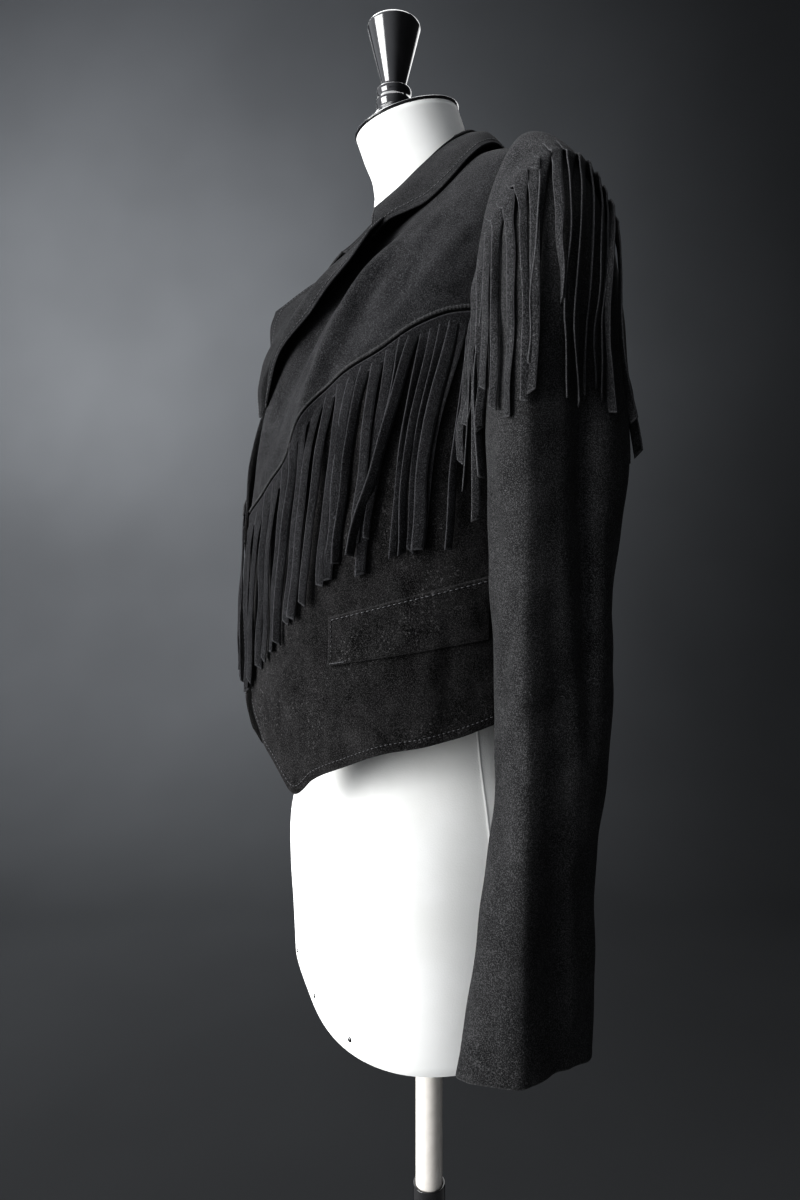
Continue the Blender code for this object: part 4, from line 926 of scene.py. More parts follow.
def sleeve_skin(turn, along, side):
    """The sleeve's outer face and outward directions. along is 0 at the armhole and counts
    the rings. Creases and slow waves are added outward, and fade out at the armhole."""
    skin = bend(sleeve_levels(turn, side), along)
    outward = -net_normal(skin, closed=True)
    outward *= np.sign(outward[len(along) // 2, 0, 0])
    free = soft_step(along, 0.3, 2.0)[:, None]
    angle = np.radians(turn)[None, :]
    waves = (0.0007 * np.sin(2 * angle + 37 * skin[..., 2]) + 0.0005 * np.sin(
        3 * angle - 61 * skin[..., 2] + side) + 0.0003 * np.sin(5 * angle + 118 * skin[..., 2]))
    away = (turn[None, :] - ease(SLEEVE_RIDGE, "turn", skin[..., 2]) + 180) % 360 - 180
    ridge = ease(SLEEVE_FLAT, "lift", away) * (1 - soft_step(skin[..., 2], 1.33, 1.43))
    cuff = soft_step(along, SLEEVE_RINGS - 1.35, SLEEVE_RINGS - 1.0)[:, None]
    pucker = 0.0007 * cuff * np.sin(9 * angle + 2 * np.sin(3 * angle + side))
    lift = free * (crease_relief(SLEEVE_CREASES[side], turn[None, :], skin[..., 2], SLEEVE_DEGREE)
                   + ridge + waves + pucker)
    return skin + lift[..., None] * outward, outward


last_ring = sleeve_levels(np.arange(0, 360, 5.0), 1)[-1]
print("a cuff is %.0f mm from front to back" % (1000 * np.ptp(last_ring[:, 1])))


# %% The sleeves
def sleeve(word, side):
    """One tube, open at both ends, from the armhole to the cuff."""
    turn = np.arange(144) * 2.5
    low_rim = SLEEVE_RINGS - 1 - np.array([0.045, 0.018, 0.007, 0.0])
    along = np.concatenate([[0, 0.006, 0.02, 0.05], np.linspace(0.12, SLEEVE_RINGS - 1.08, 190),
                            low_rim])
    skin, outward = sleeve_skin(turn, along, side)
    points, faces, edge = sheet_arrays(skin[:, ::-1], outward[:, ::-1], SUEDE, closed=True)
    piece = make("sleeve_suede_" + word, points, faces[:, ::-1], side, edge, SLEEVE_SUEDE)
    return dress(piece, "sleeve_" + word)


SLEEVES = {word: sleeve(word, side) for word, side in SIDES}
print("cloth in a sleeve: %.3f m2" % half_area(SLEEVES["left"]))

# %% [markdown]
# ## Lapels and collar
#
# The lapel is the front's own edge turned back along a roll line. Thick suede does not press
# flat, so the roll stays round and the outer edge stands off the chest with a hollow behind it.
# Each line across the lapel runs from its root over the roll to the free edge through five
# points, and a smooth curve joins them.

# %% Lapels
LAPEL = table(
    "height x stand_off",
    (1.360, 0.0280, 0.0022), (1.373, 0.0365, 0.0056), (1.395, 0.0490, 0.0106),
    (1.411, 0.0615, 0.0134), (1.430, 0.0755, 0.0158), (1.452, 0.0865, 0.0182),
    (1.470, 0.0920, 0.0208), (1.482, 0.0925, 0.0204))
LAPEL_TOP_SLANT = 0.0600
LAPEL_ROLL = 0.0075
LAPEL_FLARE = {1: 0.0, -1: 0.0290}  # the wearer's right lapel stands further forward
FLARE_POWER, FLARE_DROP = 1.7, 0.95         # and its edge comes down as it does


def on_chest(x, height, out, side):
    """A point of the front at a distance from centre front, moved out of the surface."""
    turn = np.degrees(np.arcsin(np.clip(x / ease(JACKET, "half_width", height), 0, 1)))
    return cloth(turn, height, out, side)


def lapel_skin(climb, across, side):
    """The lapel's outer face: climb runs 0..1 up it, across 0..1 from its root to its edge."""
    low, high = LAPEL["height"][0], LAPEL["height"][-1]
    height = low + climb * (high - low)
    edge_x = ease(LAPEL, "x", height)
    swell = np.sin(pi * np.clip(0.06 + climb * 0.86, 0, 1))
    lifted = LAPEL_FLARE[side] * climb**FLARE_POWER
    wave = 0.0008 * np.sin(19 * climb + side) * climb
    stand = ease(LAPEL, "stand_off", height) + lifted + wave
    rise = LAPEL_TOP_SLANT * climb**2

    def line(share, out, before=0.0):
        level = height + rise * (1 - share) - FLARE_DROP * lifted * share
        root = ease(FRONT_EDGE, "x", level)
        return on_chest(root + share * (edge_x - root) - before, level, out, side)

    lift = 0.0012 + (0.0024 + LAPEL_ROLL * swell) * soft_step(climb, -0.05, 0.22)
    lines = [line(0.0, -0.0012 + 0 * height, 0.0014),
             line(-0.03, 0.7 * lift),
             line(0.20, lift),
             line(0.60, 0.5 * (lift + stand) + 0.0015 * swell),
             line(1.0, stand)]
    return bend(lines, 4 * across).transpose(1, 0, 2)


def lapel(word, side):
    """The folded front edge, as a sheet."""
    skin = lapel_skin(spread(70), spread(48), side)
    points, faces, edge = sheet_arrays(skin, net_normal(skin), SUEDE, sewn_root=True)
    piece = make("lapel_suede_" + word, points, faces, side, edge, SEWN_SUEDE)
    return dress(piece, "lapel_" + word)


LAPELS = {word: lapel(word, side) for word, side in SIDES}
print("cloth in a lapel: %.4f m2" % half_area(LAPELS["left"]))

# %% Collar
COLLAR = table(
    "station seam_height roll_x roll_y roll_z edge_x edge_y edge_z",
    (0.00, 1.502, 0.0525, -0.0665, 1.5275, 0.0780, -0.0758, 1.4935),
    (0.20, 1.530, 0.0580, -0.0440, 1.5480, 0.0880, -0.0616, 1.5075),
    (0.35, 1.545, 0.0590, -0.0290, 1.5640, 0.0980, -0.0478, 1.5128),
    (0.50, 1.562, 0.0590, -0.0110, 1.5820, 0.1070, -0.0339, 1.5200),
    (0.60, 1.575, 0.0580, 0.0015, 1.5930, 0.1130, -0.0193, 1.5352),
    (0.68, 1.575, 0.0550, 0.0120, 1.6010, 0.1130, -0.0023, 1.5554),
    (0.75, 1.575, 0.0500, 0.0210, 1.6075, 0.1080, 0.0125, 1.5686),
    (0.82, 1.575, 0.0430, 0.0300, 1.6120, 0.0950, 0.0300, 1.5775),
    (0.90, 1.575, 0.0280, 0.0395, 1.6150, 0.0650, 0.0570, 1.5770),
    (1.00, 1.575, 0.0000, 0.0470, 1.6160, 0.0000, 0.0730, 1.5720))
COLLAR_ROLL = 0.0036
COLLAR_FLARE = {1: 0.0, -1: 0.0160}
COLLAR_RISE = {1: 0.0, -1: 0.0070}   # the wearer's right end stands higher


def collar_half(station, across, side):
    """Half of the collar: up from the neck seam, over the roll and down to the free edge."""
    seam_height = ease(COLLAR, "seam_height", station)
    back_turn = 90 + 90 * np.clip((station - 0.6) / 0.4, 0, 1)
    seam_turn = np.where(seam_height < SHOULDER_TOP - 0.0005, edge_turn(seam_height), back_turn)
    seam = cloth(seam_turn, seam_height)
    roll = np.stack([ease(COLLAR, "roll_" + axis, station) for axis in "xyz"], axis=-1)
    edge = np.stack([ease(COLLAR, "edge_" + axis, station) for axis in "xyz"], axis=-1)
    outward = unit((edge - roll) * np.array([1, 1, 0]))
    lift = np.array([0, 0, 1.0])
    over = roll + COLLAR_ROLL * outward - 0.6 * COLLAR_ROLL * lift
    lines = [seam - 0.0030 * lift - 0.0012 * outward,
             roll - COLLAR_ROLL * outward - 1.2 * COLLAR_ROLL * lift,
             roll, over, 0.5 * (over + edge) + 0.0030 * outward + 0.0030 * lift, edge]
    half = bend(lines, 5 * across)
    forward = COLLAR_FLARE[side] * np.clip(1 - station / 0.4, 0, 1) ** 1.5
    half[..., 1] -= across[:, None] ** 2 * forward
    near_end = np.sin(pi * np.clip(station / 0.6, 0, 1)) ** 2
    half[..., 2] += COLLAR_RISE[side] * np.minimum(across[:, None] / 0.3, 1) * near_end
    return half.transpose(1, 0, 2)


def collar_skin(station, across):
    """Both halves, joined at centre back."""
    left = collar_half(station, across, 1)
    right = collar_half(station, across, -1) * np.array([-1.0, 1, 1])
    return np.concatenate([left, right[::-1][1:]])


def collar():
    """The whole collar, as one sheet."""
    skin = collar_skin(np.concatenate([spread(90)[:-3], [1.0]]), spread(44))
    points, faces, edge = sheet_arrays(skin, net_normal(skin), SUEDE, sewn_root=True)
    return dress(make("collar_suede", points, faces, 1, edge, SEWN_SUEDE), "collar")


COLLAR_PIECE = collar()
print("cloth in the collar: %.4f m2" % half_area(COLLAR_PIECE))

# %% [markdown]
# ## Pocket flaps, piping and stitches
#
# A flap is sewn along its top edge with one row of stitches, and lies on the front with a free
# lower edge. A stitch is a short, plump length of thread that dips at both ends. Hundreds are
# needed, so one small form is copied along each sewn line in a single array step.

# %% Pocket flaps
FLAP = table("share turn top tall", (0.0, 44.3, 1.190, 0.036), (0.5, 64.4, 1.2055, 0.0405),
             (1.0, 84.5, 1.221, 0.045))
FLAP_WALL = 0.0022


def flap_place(share, down):
    """A place on the flap: share along it from its front end, down from its top edge."""
    return (ease(FLAP, "turn", share),
            ease(FLAP, "top", share) - down * ease(FLAP, "tall", share))


def flap(word, side):
    """Its outer face lies its own thickness out from the front, and a little more at the foot."""
    share, down = np.meshgrid(spread(100), spread(34)[::-1])
    turn, height = flap_place(share, down)
    lift = SEAM_GAP + FLAP_WALL + 0.0011 * down**3 + 0.0003 * np.sin(14 * share + side) * down
    skin = cloth(turn, height, lift, side)
    points, faces, edge = sheet_arrays(skin, girth_normal(JACKET, turn, height), FLAP_WALL)
    piece = make("flap_suede_" + word, points, faces, side, edge, LOWER_SUEDE)
    return dress(piece, "pocket_flap_" + word)


FLAPS = {word: flap(word, side) for word, side in SIDES}
print("cloth in a flap: %.4f m2" % half_area(FLAPS["left"]))


# %% Piping
def tube(path, radius, sides):
    """A closed tube: a circle at each point of the path, shrunk to nothing at both ends."""
    step = unit(np.gradient(path, axis=0))
    first = unit(np.cross(step, [0.0, 0.0, 1.0]))
    second = np.cross(step, first)
    angle = np.arange(sides) * 2 * pi / sides
    ring = (np.cos(angle)[None, :, None] * first[:, None, :]
            + np.sin(angle)[None, :, None] * second[:, None, :])
    points = path[:, None, :] + radius[:, None, None] * ring
    points[0], points[-1] = path[0], path[-1]
    return points.reshape(-1, 3), quads(tube_net(len(path), sides))


SEAM_TUCK = 0.0016          # how far above the chest seam the piping lies, and below it the strip
PIPING_RADIUS = 0.0015
PIPING_WEAR_AND_HIGHLIGHT = 0.001         # taken as so far in from a cut edge, so its nap is lighter like a sheet's there: wear and a painted edge highlight
PIPING_FROM, PIPING_TO = 0.8, 1.5           # degrees that it stops short of the seam's ends
PIPING_STITCHES = 72
PIPING = table("share fullness", (0.0, 0.70), (0.25, 0.72), (0.5, 0.85), (0.75, 1.0), (1.0, 1.0))


def piping(word, side):
    """A corded edge along the chest seam, plumper towards the armhole, faintly pulled in where
    each stitch passes."""
    share = np.linspace(0, 1, 420)
    turn = SEAM_START + PIPING_FROM + share * (
        MEET_TURN - PIPING_TO - SEAM_START - PIPING_FROM)
    pulled = 0.05 * np.sin(share * 2 * pi * PIPING_STITCHES)
    full = ease(PIPING, "fullness", share) * (1 + pulled)
    path = cloth(turn, yoke_seam(turn) + SEAM_TUCK, PIPING_RADIUS * full + SEAM_GAP, side)
    points, faces = tube(path, PIPING_RADIUS * full, 12)
    piece = make("piping_suede_" + word, points, faces, side, np.full(len(points), PIPING_WEAR_AND_HIGHLIGHT),
                 SLEEVE_SUEDE)
    return dress(piece, "piping_" + word)


PIPINGS = {word: piping(word, side) for word, side in SIDES}
print("piping triangles:", COUNTS["piping_suede_left"])


# %% Stitches along a line
STITCH_RINGS, STITCH_SIDES = 7, 6


def stitches(path, outward, pitch=0.0036, long=0.0027, thick=0.0007):
    """Stitches along a path. Each is a spindle whose height over the cloth is a cosine along
    it, so that both ends dip into the suede. They lie far from any cut edge."""
    walk = np.insert(np.cumsum(np.linalg.norm(np.diff(path, axis=0), axis=1)), 0, 0)
    centres = np.arange(pitch / 2, walk[-1], pitch)
    share = np.linspace(-0.5, 0.5, STITCH_RINGS)
    at = centres[:, None] + long * share
    place = np.stack([np.interp(at, walk, path[:, k]) for k in range(3)], -1)
    out = unit(np.stack([np.interp(at, walk, outward[:, k]) for k in range(3)], -1))
    step = unit(np.stack([np.interp(centres + 5e-4, walk, path[:, k]) - np.interp(
        centres - 5e-4, walk, path[:, k]) for k in range(3)], -1))[:, None, :]
    aside = unit(np.cross(step, out))
    plump = np.sqrt(np.clip(1 - (2 * share) ** 2, 0, 1)) * thick / 2
    rise = (0.75 * thick * np.cos(pi * share) - 0.2 * thick)[None, :, None]
    angle = np.arange(STITCH_SIDES) * 2 * pi / STITCH_SIDES
    ring = (np.cos(angle)[None, None, :, None] * aside[:, :, None, :]
            + np.sin(angle)[None, None, :, None] * out[:, :, None, :])
    points = (place + rise * out)[:, :, None, :] + plump[None, :, None, None] * ring
    one = quads(tube_net(STITCH_RINGS, STITCH_SIDES))[:, OTHER_WAY_ROUND]
    starts = np.arange(len(centres)) * STITCH_RINGS * STITCH_SIDES
    faces = (one[None] + starts[:, None, None]).reshape(-1, 4)
    return points.reshape(-1, 3), faces, np.ones(points.size // 3)


def sewn_line(turn, height, out, side, **sizes):
    """Stitches along places of the jacket's body."""
    return stitches(cloth(turn, height, out, side), girth_normal(JACKET, turn, height), **sizes)


def sewn(name, side, *lines):
    """Several lines of stitches as one piece of thread."""
    points, faces, values = join(lines)
    return dress(make(name, points, faces, side, values, THREAD), None)


print("a stitch has", 2 * len(quads(tube_net(STITCH_RINGS, STITCH_SIDES))), "triangles")


# %% Stitches on the fronts
HEM_STITCH = 0.0065         # how far above the hem its row runs
HEM_ROW_START, HEM_ROW_SPAN = 7.6, 82.0     # in degrees
EDGE_ROW_FOOT, EDGE_ROW_IN = 1.121, 1.0     # its lowest height, and degrees in from the edge


def front_stitches(word, side):
    """The hem, the front edge, the flap's top and front end, and its bar tack."""
    share, still = np.linspace(0, 1, 300), np.zeros(300)
    hem_turn = HEM_ROW_START + share * HEM_ROW_SPAN
    hem_height = ease(HEM, "height", hem_turn) + HEM_STITCH
    edge_height = EDGE_ROW_FOOT + share * (SEAM_LOW - 0.006 - EDGE_ROW_FOOT)
    edge_at = edge_turn(edge_height) + EDGE_ROW_IN
    out = SEAM_GAP + FLAP_WALL
    return sewn(
        "front_stitches_" + word, side,
        sewn_line(hem_turn, hem_height, 0.0, side),
        sewn_line(edge_at, edge_height, 0.0, side),
        sewn_line(*flap_place(0.02 + 0.96 * share, 0.075 + still), out, side,
                  pitch=0.0042, long=0.0036, thick=0.0008),
        sewn_line(*flap_place(0.022 + still, 0.06 + 0.9 * share), out + 0.0004, side,
                  long=0.0024, thick=0.0005),
        sewn_line(*flap_place(0.02 + 0.10 * share, 0.955 + still), out + 0.001, side,
                  pitch=0.0011, long=0.0022, thick=0.0009))


FRONT_STITCHES = {word: front_stitches(word, side) for word, side in SIDES}
print("front stitch triangles:", COUNTS["front_stitches_left"])


# %% Stitches on lapels, collar and back hem
LINES, INSET = 60, 56       # lines across a lapel or collar; the row follows this one, 3 mm in


def rows_on(skin, *places):
    """Stitches along some lines of a net, each given as its rows and columns."""
    outward = net_normal(skin)
    return [stitches(skin[place], outward[place]) for place in places]


def lapel_stitches(word, side):
    """One row inside the lapel's free edge and its top."""
    skin = lapel_skin(np.linspace(0, 1, 120), np.linspace(0, 1, LINES), side)
    foot, head, root = 2, 116, 8
    lines = rows_on(skin, (slice(foot, head + 1), INSET), (head, slice(INSET, root, -1)))
    return sewn("lapel_stitches_" + word, side, *lines)


def collar_stitches():
    """One row inside the collar's free edge and its two ends."""
    skin = collar_skin(np.linspace(0, 1, 200), np.linspace(0, 1, LINES))
    end, roll, last = 3, 30, len(skin) - 1
    return sewn("collar_stitches", 1, *rows_on(
        skin, (slice(end - 1, last - end + 2), INSET), (end, slice(roll, INSET)),
        (last - end, slice(roll, INSET))))


def back_stitches():
    """The hem's row across the back."""
    turn = np.linspace(90.6, 269.4, 500)
    height = ease(HEM, "height", 180 - np.abs(turn - 180)) + HEM_STITCH
    return sewn("back_stitches", 1, sewn_line(turn, height, 0.0, 1))


LAPEL_STITCHES = {word: lapel_stitches(word, side) for word, side in SIDES}
COLLAR_STITCHES, BACK_STITCHES = collar_stitches(), back_stitches()
print("stitch triangles:", sum(n for name, n in COUNTS.items() if "stitches" in name))

# %% [markdown]
# ## Fringe
#
# Fringe is a strip of suede, slit nearly to its sewn edge. The strands keep the strip's outward
# direction at first, then hang, and no two hang alike: they lean, turn edge-on, lie over each
# other, and curl where they were cut a little narrow. A strand here is an oval carried along a
# path. It has a width, a thickness and a twist at each level, and a slanting cut at its tip.


# %% One strand
OVAL = np.array([(cos(a), sin(a)) for a in np.radians([22, 67, 113, 158, 202, 247, 293, 338])])
OVAL = np.sign(OVAL) * np.abs(OVAL) ** 0.55     # a rounded rectangle, with soft corners
STRAND_MIDDLE = 0.0040      # how far a strand's face is taken to be from its cut edges


def strand(path, outward, width, twist, slant=0.0, thick=STRIP):
    """A ribbon with eight sides. Each level is the oval, width wide across the path and thick
    outward, turned about the path by twist; slant tips the last level across its width."""
    levels = len(path)
    step = unit(np.gradient(path, axis=0))
    across = unit(np.cross(step, outward))
    out = np.cross(across, step)
    turn = (twist * np.ones(levels))[:, None]
    wide = across * np.cos(turn) + out * np.sin(turn)
    deep = out * np.cos(turn) - across * np.sin(turn)
    half = (np.ones(levels) * width / 2)[:, None, None]
    points = (path[:, None, :] + half * OVAL[None, :, :1] * wide[:, None, :]
              + thick / 2 * OVAL[None, :, 1:] * deep[:, None, :])
    points[-1] += (slant * OVAL[:, :1]) * step[-1]
    count = len(OVAL)
    faces = quads(tube_net(levels, count))[:, OTHER_WAY_ROUND]
    caps = [(1, 2, 3, 0), (3, 4, 7, 0), (4, 5, 6, 7)]
    last = (levels - 1) * count
    ends = caps + [tuple(last + k for k in reversed(cap)) for cap in caps]
    # The cut sides and the tip count as edges, where the finish paints the nap lighter: wear and a
    # painted edge highlight.
    edge = np.tile(np.where(np.abs(OVAL[:, 0]) > 0.8, 0.0, STRAND_MIDDLE), levels)
    edge[-count:] = 0.0
    return points.reshape(-1, 3), np.concatenate([faces, np.array(ends)]), edge


print("a strand's corners across:", OVAL[:, 0].round(2))


# %% The yoke's strands
ROOT_DEPTH = 0.0012         # how deep a strand's root is sunk into its strip
FRONT_RADIUS = 0.172        # of the lower front, to turn degrees round it into a strand's width
YOKE_BAND = table("turn depth", (0.0, 0.017), (30.0, 0.016), (50.0, 0.012), (80.0, 0.010))
# Each strand: where it is cut, its width, how far it has leaned a third of the way down and at
# its tip, the height of its tip, its twist at both places, and how far it stands off.
YOKE_STRANDS = table(
    "turn width lean_a lean_b tip twist_a twist_b lift",
    (6.5, 0.0080, -0.5, -0.5, 1.122, 10, 25, 0.0015),
    (10.5, 0.0078, -0.8, -2.5, 1.126, -5, -20, 0.0025),
    (16.0, 0.0078, -1.8, -6.5, 1.132, 5, 15, 0.0034),
    (20.5, 0.0074, -1.0, -5.5, 1.145, 24, 32, 0.0010),
    (24.5, 0.0078, -1.5, -4.2, 1.153, -4, 0, 0.0024),
    (28.3, 0.0076, -1.2, -4.6, 1.160, 6, -14, 0.0008),
    (31.7, 0.0072, -1.0, -3.8, 1.168, 30, 40, 0.0036),
    (34.8, 0.0076, -0.8, -3.5, 1.184, -6, 4, 0.0010),
    (38.0, 0.0078, -1.4, -4.2, 1.188, 0, 10, 0.0022),
    (41.3, 0.0074, -0.4, -3.3, 1.199, 12, 6, 0.0040),
    (44.6, 0.0086, 0.4, -2.3, 1.213, -8, -10, 0.0012),
    (47.8, 0.0088, -0.6, -3.3, 1.217, 4, 8, 0.0020),
    (50.8, 0.0070, -1.2, -4.4, 1.229, 35, 50, 0.0008),
    (54.0, 0.0084, 0.3, -2.2, 1.243, 0, -12, 0.0026),
    (57.5, 0.0088, -0.8, -4.3, 1.221, -6, 6, 0.0010),
    (60.5, 0.0056, -1.2, -5.6, 1.247, 65, 30, 0.0030),
    (63.2, 0.0080, -2.2, -12.2, 1.235, 20, 62, 0.0060),
    (66.0, 0.0060, -2.2, -4.9, 1.234, 42, 20, 0.0014),
    (68.3, 0.0062, -3.0, -5.0, 1.236, 12, 38, 0.0030),
    (70.9, 0.0064, -3.6, -5.6, 1.238, 30, 12, 0.0010),
    (73.6, 0.0094, -4.0, -6.4, 1.239, 0, -6, 0.0028),
    (76.4, 0.0070, -4.8, -8.4, 1.243, -30, -20, 0.0006),
    (79.0, 0.0064, -2.0, -4.6, 1.239, 16, 24, 0.0016))


print("strands on a yoke:", len(YOKE_STRANDS["turn"]))


# %% Helpers for both fringes
def uneven(rows, side, seed, **spans):
    """The rows as they are for the wearer's left, and shifted a little at random for the right."""
    draw = np.random.default_rng(seed)
    count = len(next(iter(rows.values())))
    shifted = {name: rows[name] + draw.uniform(-span, span, count) for name, span in spans.items()}
    return {**rows, **(shifted if side < 0 else {})}


def midways(places, first, last):
    """The cuts between strands: half way from each place to the next."""
    return np.concatenate([[first], (places[1:] + places[:-1]) / 2, [last]])


print("cuts for strands at 1 and 3:", midways(np.array([1.0, 3.0]), 0.0, 4.0))


# %% The yoke's strip and strands
def yoke_fringe(word, side, seed):
    """The strip under the chest seam and its strands over the lower front."""
    draw = np.random.default_rng(seed)
    rows = uneven(YOKE_STRANDS, side, seed, turn=0.7, width=0.0008, lean_a=1.2, lean_b=2.0,
                  tip=0.006, twist_a=14, twist_b=20)
    start, end = SEAM_START + 0.6, MEET_TURN - 1.0
    turn, down = np.meshgrid(np.linspace(start, end, 200), spread(12)[::-1])
    height = yoke_seam(turn) - SEAM_TUCK - down * ease(YOKE_BAND, "depth", turn)
    skin = cloth(turn, height, SEAM_GAP + STRIP, side)
    parts = [sheet_arrays(skin, girth_normal(JACKET, turn, height), STRIP)]
    cuts = midways(rows["turn"], start, end)
    fall = np.linspace(0, 1, 34)
    for i, row in enumerate(zip(*rows.values())):
        middle, width, lean_a, lean_b, tip, twist_a, twist_b, lift = row
        # the slit's upper end, and the strand's way down from it with a slow sway
        root = float(yoke_seam(middle)) - SEAM_TUCK
        root -= draw.uniform(0.20, 0.55) * float(ease(YOKE_BAND, "depth", middle))
        lean = np.interp(fall, (0, 1), (0, lean_b)) + (lean_a - lean_b / 3) * np.sin(
            pi * np.clip(fall, 0, 1)) ** 2 * (1 - 0.5 * fall)
        path_turn = middle + lean + draw.uniform(-0.45, 0.45) * np.sin(2 * pi * fall)
        path_turn += draw.uniform(-0.22, 0.22) * fall * np.sin(5 * pi * fall + draw.uniform(0, 6))
        path_height = root + (tip - root) * fall
        # it leaves the strip's thickness and comes to stand off the front by its own lift
        off = (lift + draw.uniform(0.0, 0.0012)) * soft_step(fall, 0.02, 0.5)
        off += 0.0003 - ROOT_DEPTH * (1 - soft_step(fall, 0.0, 0.035))
        path = cloth(path_turn, path_height, SEAM_GAP + 0.5 * STRIP + off, side)
        # as wide as its share of the strip at the root, then drawn in, and cut unevenly
        root_width = np.radians(cuts[i + 1] - cuts[i]) * FRONT_RADIUS
        wide = width + (root_width - width) * (1 - soft_step(fall, 0.0, 0.22))
        wide *= 1 + 0.06 * fall * np.sin(draw.uniform(9, 14) * fall + draw.uniform(0, 6))
        twist = np.radians(twist_a * np.sin(pi * np.clip(1.5 * fall, 0, 1))
                           + twist_b * soft_step(fall, 0.25, 1.0))
        parts.append(strand(path, girth_normal(JACKET, path_turn, path_height), wide, twist,
                            draw.uniform(-0.0026, 0.0026)))
    points, faces, edge = join(parts)
    piece = make("yoke_fringe_suede_" + word, points, faces, side, edge, STRAND_SUEDE)
    return dress(piece, "yoke_fringe_" + word)


YOKE_FRINGES = {word: yoke_fringe(word, side, seed) for (word, side), seed in zip(SIDES, (7, 11))}
print("yoke fringe triangles:", COUNTS["yoke_fringe_suede_left"])

# %% The armhole's strands
# Each strand: where it is cut round the armhole and how far down the sleeve head, its width, how
# far out its tip hangs (0 lies on the sleeve), its depth a third and two thirds of the way down
# and at its tip, the height of its tip, its twist half way and at the tip, and its stand-off.
ARM_STRANDS = table(
    "turn slit width x y_a y_b y_tip tip twist_a twist_b lift",
    (107, 1.05, 0.0066, 0.192, -0.0350, -0.0390, -0.0405, 1.300, 10, 30, 0.0010),
    (102, 1.10, 0.0064, 0.198, -0.0345, -0.0370, -0.0390, 1.281, -25, -40, 0.0026),
    (97, 1.15, 0.0062, 0.206, -0.0330, -0.0340, -0.0335, 1.259, 20, 62, 0.0004),
    (91, 1.20, 0.0074, 0.200, -0.0335, -0.0355, -0.0380, 1.325, 0, 15, 0.0030),
    (85, 1.30, 0.0066, 0.222, -0.0335, -0.0355, -0.0362, 1.318, 30, 72, 0.0010),
    (79, 1.40, 0.0062, 0.219, -0.0325, -0.0385, -0.0340, 1.287, -35, -85, 0.0020),
    (73, 1.55, 0.0072, 0.228, -0.0315, -0.0350, -0.0372, 1.345, 5, 15, 0.0034),
    (66, 1.80, 0.0062, 0.245, -0.0300, -0.0345, -0.0365, 1.329, 62, 40, 0.0006),
    (56, 2.30, 0.0074, 0.256, -0.0235, -0.0285, -0.0318, 1.322, 4, -8, 0.0030),
    (45, 2.35, 0.0058, 0.0, -0.0185, -0.0225, -0.0262, 1.330, 28, 40, 0.0010),
    (33, 2.50, 0.0070, 0.0, -0.0135, -0.0180, -0.0225, 1.335, 0, 5, 0.0026),
    (21, 2.60, 0.0062, 0.0, -0.0090, -0.0165, -0.0215, 1.352, 60, 75, 0.0006),
    (9, 2.65, 0.0068, 0.0, 0.0020, -0.0015, -0.0015, 1.393, -15, -82, 0.0040),
    (-4, 2.70, 0.0064, 0.0, 0.0070, 0.0010, 0.0030, 1.333, 76, 70, 0.0030),
    (-17, 2.65, 0.0068, 0.0, 0.0150, 0.0080, 0.0105, 1.330, 32, 66, 0.0032),
    (-29, 2.55, 0.0064, 0.0, 0.0240, 0.0190, 0.0180, 1.338, 42, 62, 0.0008),
    (-41, 2.40, 0.0064, 0.0, 0.0310, 0.0260, 0.0250, 1.343, 10, 22, 0.0010),
    (-52, 2.20, 0.0064, 0.0, 0.0360, 0.0300, 0.0305, 1.335, -12, 20, 0.0006),
    (-61, 2.05, 0.0064, 0.0, 0.0330, 0.0315, 0.0365, 1.326, 72, 76, 0.0032),
    (-69, 1.95, 0.0076, 0.0, 0.0430, 0.0445, 0.0560, 1.323, 14, 26, 0.0020),
    (-77, 1.75, 0.0068, 0.250, 0.0500, 0.0580, 0.0670, 1.303, 10, 34, 0.0012),
    (-85, 1.55, 0.0066, 0.240, 0.0560, 0.0610, 0.0630, 1.297, 42, 64, 0.0008),
    (-92, 1.35, 0.0066, 0.246, 0.0600, 0.0625, 0.0660, 1.322, -22, -64, 0.0020),
    (-98, 1.20, 0.0066, 0.222, 0.0620, 0.0690, 0.0740, 1.292, 12, -22, 0.0010),
    (-104, 1.05, 0.0066, 0.208, 0.0620, 0.0710, 0.0780, 1.300, -12, 24, 0.0020))
ARM_FRONT_TURN, ARM_BACK_TURN = 110.0, -107.0
STRIP_START = 0.16          # how far below the armhole the strip's sewn edge lies, in rings
print("strands round an armhole:", len(ARM_STRANDS["turn"]))


# %% Helpers for strands on the sleeve
TURN_STEP, RING_STEP = 2.0, 0.05            # between the points of the sleeve head's net


def net_reader(skin, outward):
    """Reads a net of the sleeve head, between its points, at a turn and a place along it: the
    mean of the four points around, by how near each is, moved out by a distance."""
    count = skin.shape[1]

    def read(turn, along, out):
        column, row = (np.asarray(turn) % 360) / TURN_STEP, np.asarray(along) / RING_STEP
        row = np.clip(row, 0, len(skin) - 1.001)
        c, r = np.floor(column).astype(int), np.floor(row).astype(int)
        u, v = (column - c)[..., None], (row - r)[..., None]
        c = c % count

        def mixed(net):
            low = net[r, c] * (1 - u) + net[r, (c + 1) % count] * u
            high = net[r + 1, c] * (1 - u) + net[r + 1, (c + 1) % count] * u
            return low * (1 - v) + high * v
        return mixed(skin) + np.asarray(out)[..., None] * unit(mixed(outward))
    return read


def smooth(values):
    """A running mean of five."""
    return np.convolve(np.pad(values, 2, "edge"), np.ones(5) / 5, "valid")


def strip_lift(turn):
    """How far the strip lies off the sleeve head: most over its outer side."""
    return SEAM_GAP + 0.0012 * np.clip(0.35 + np.cos(np.radians(turn - 20)), 0.35, 1)


HEAD = 5                    # points of a strand that still lie on the sleeve head


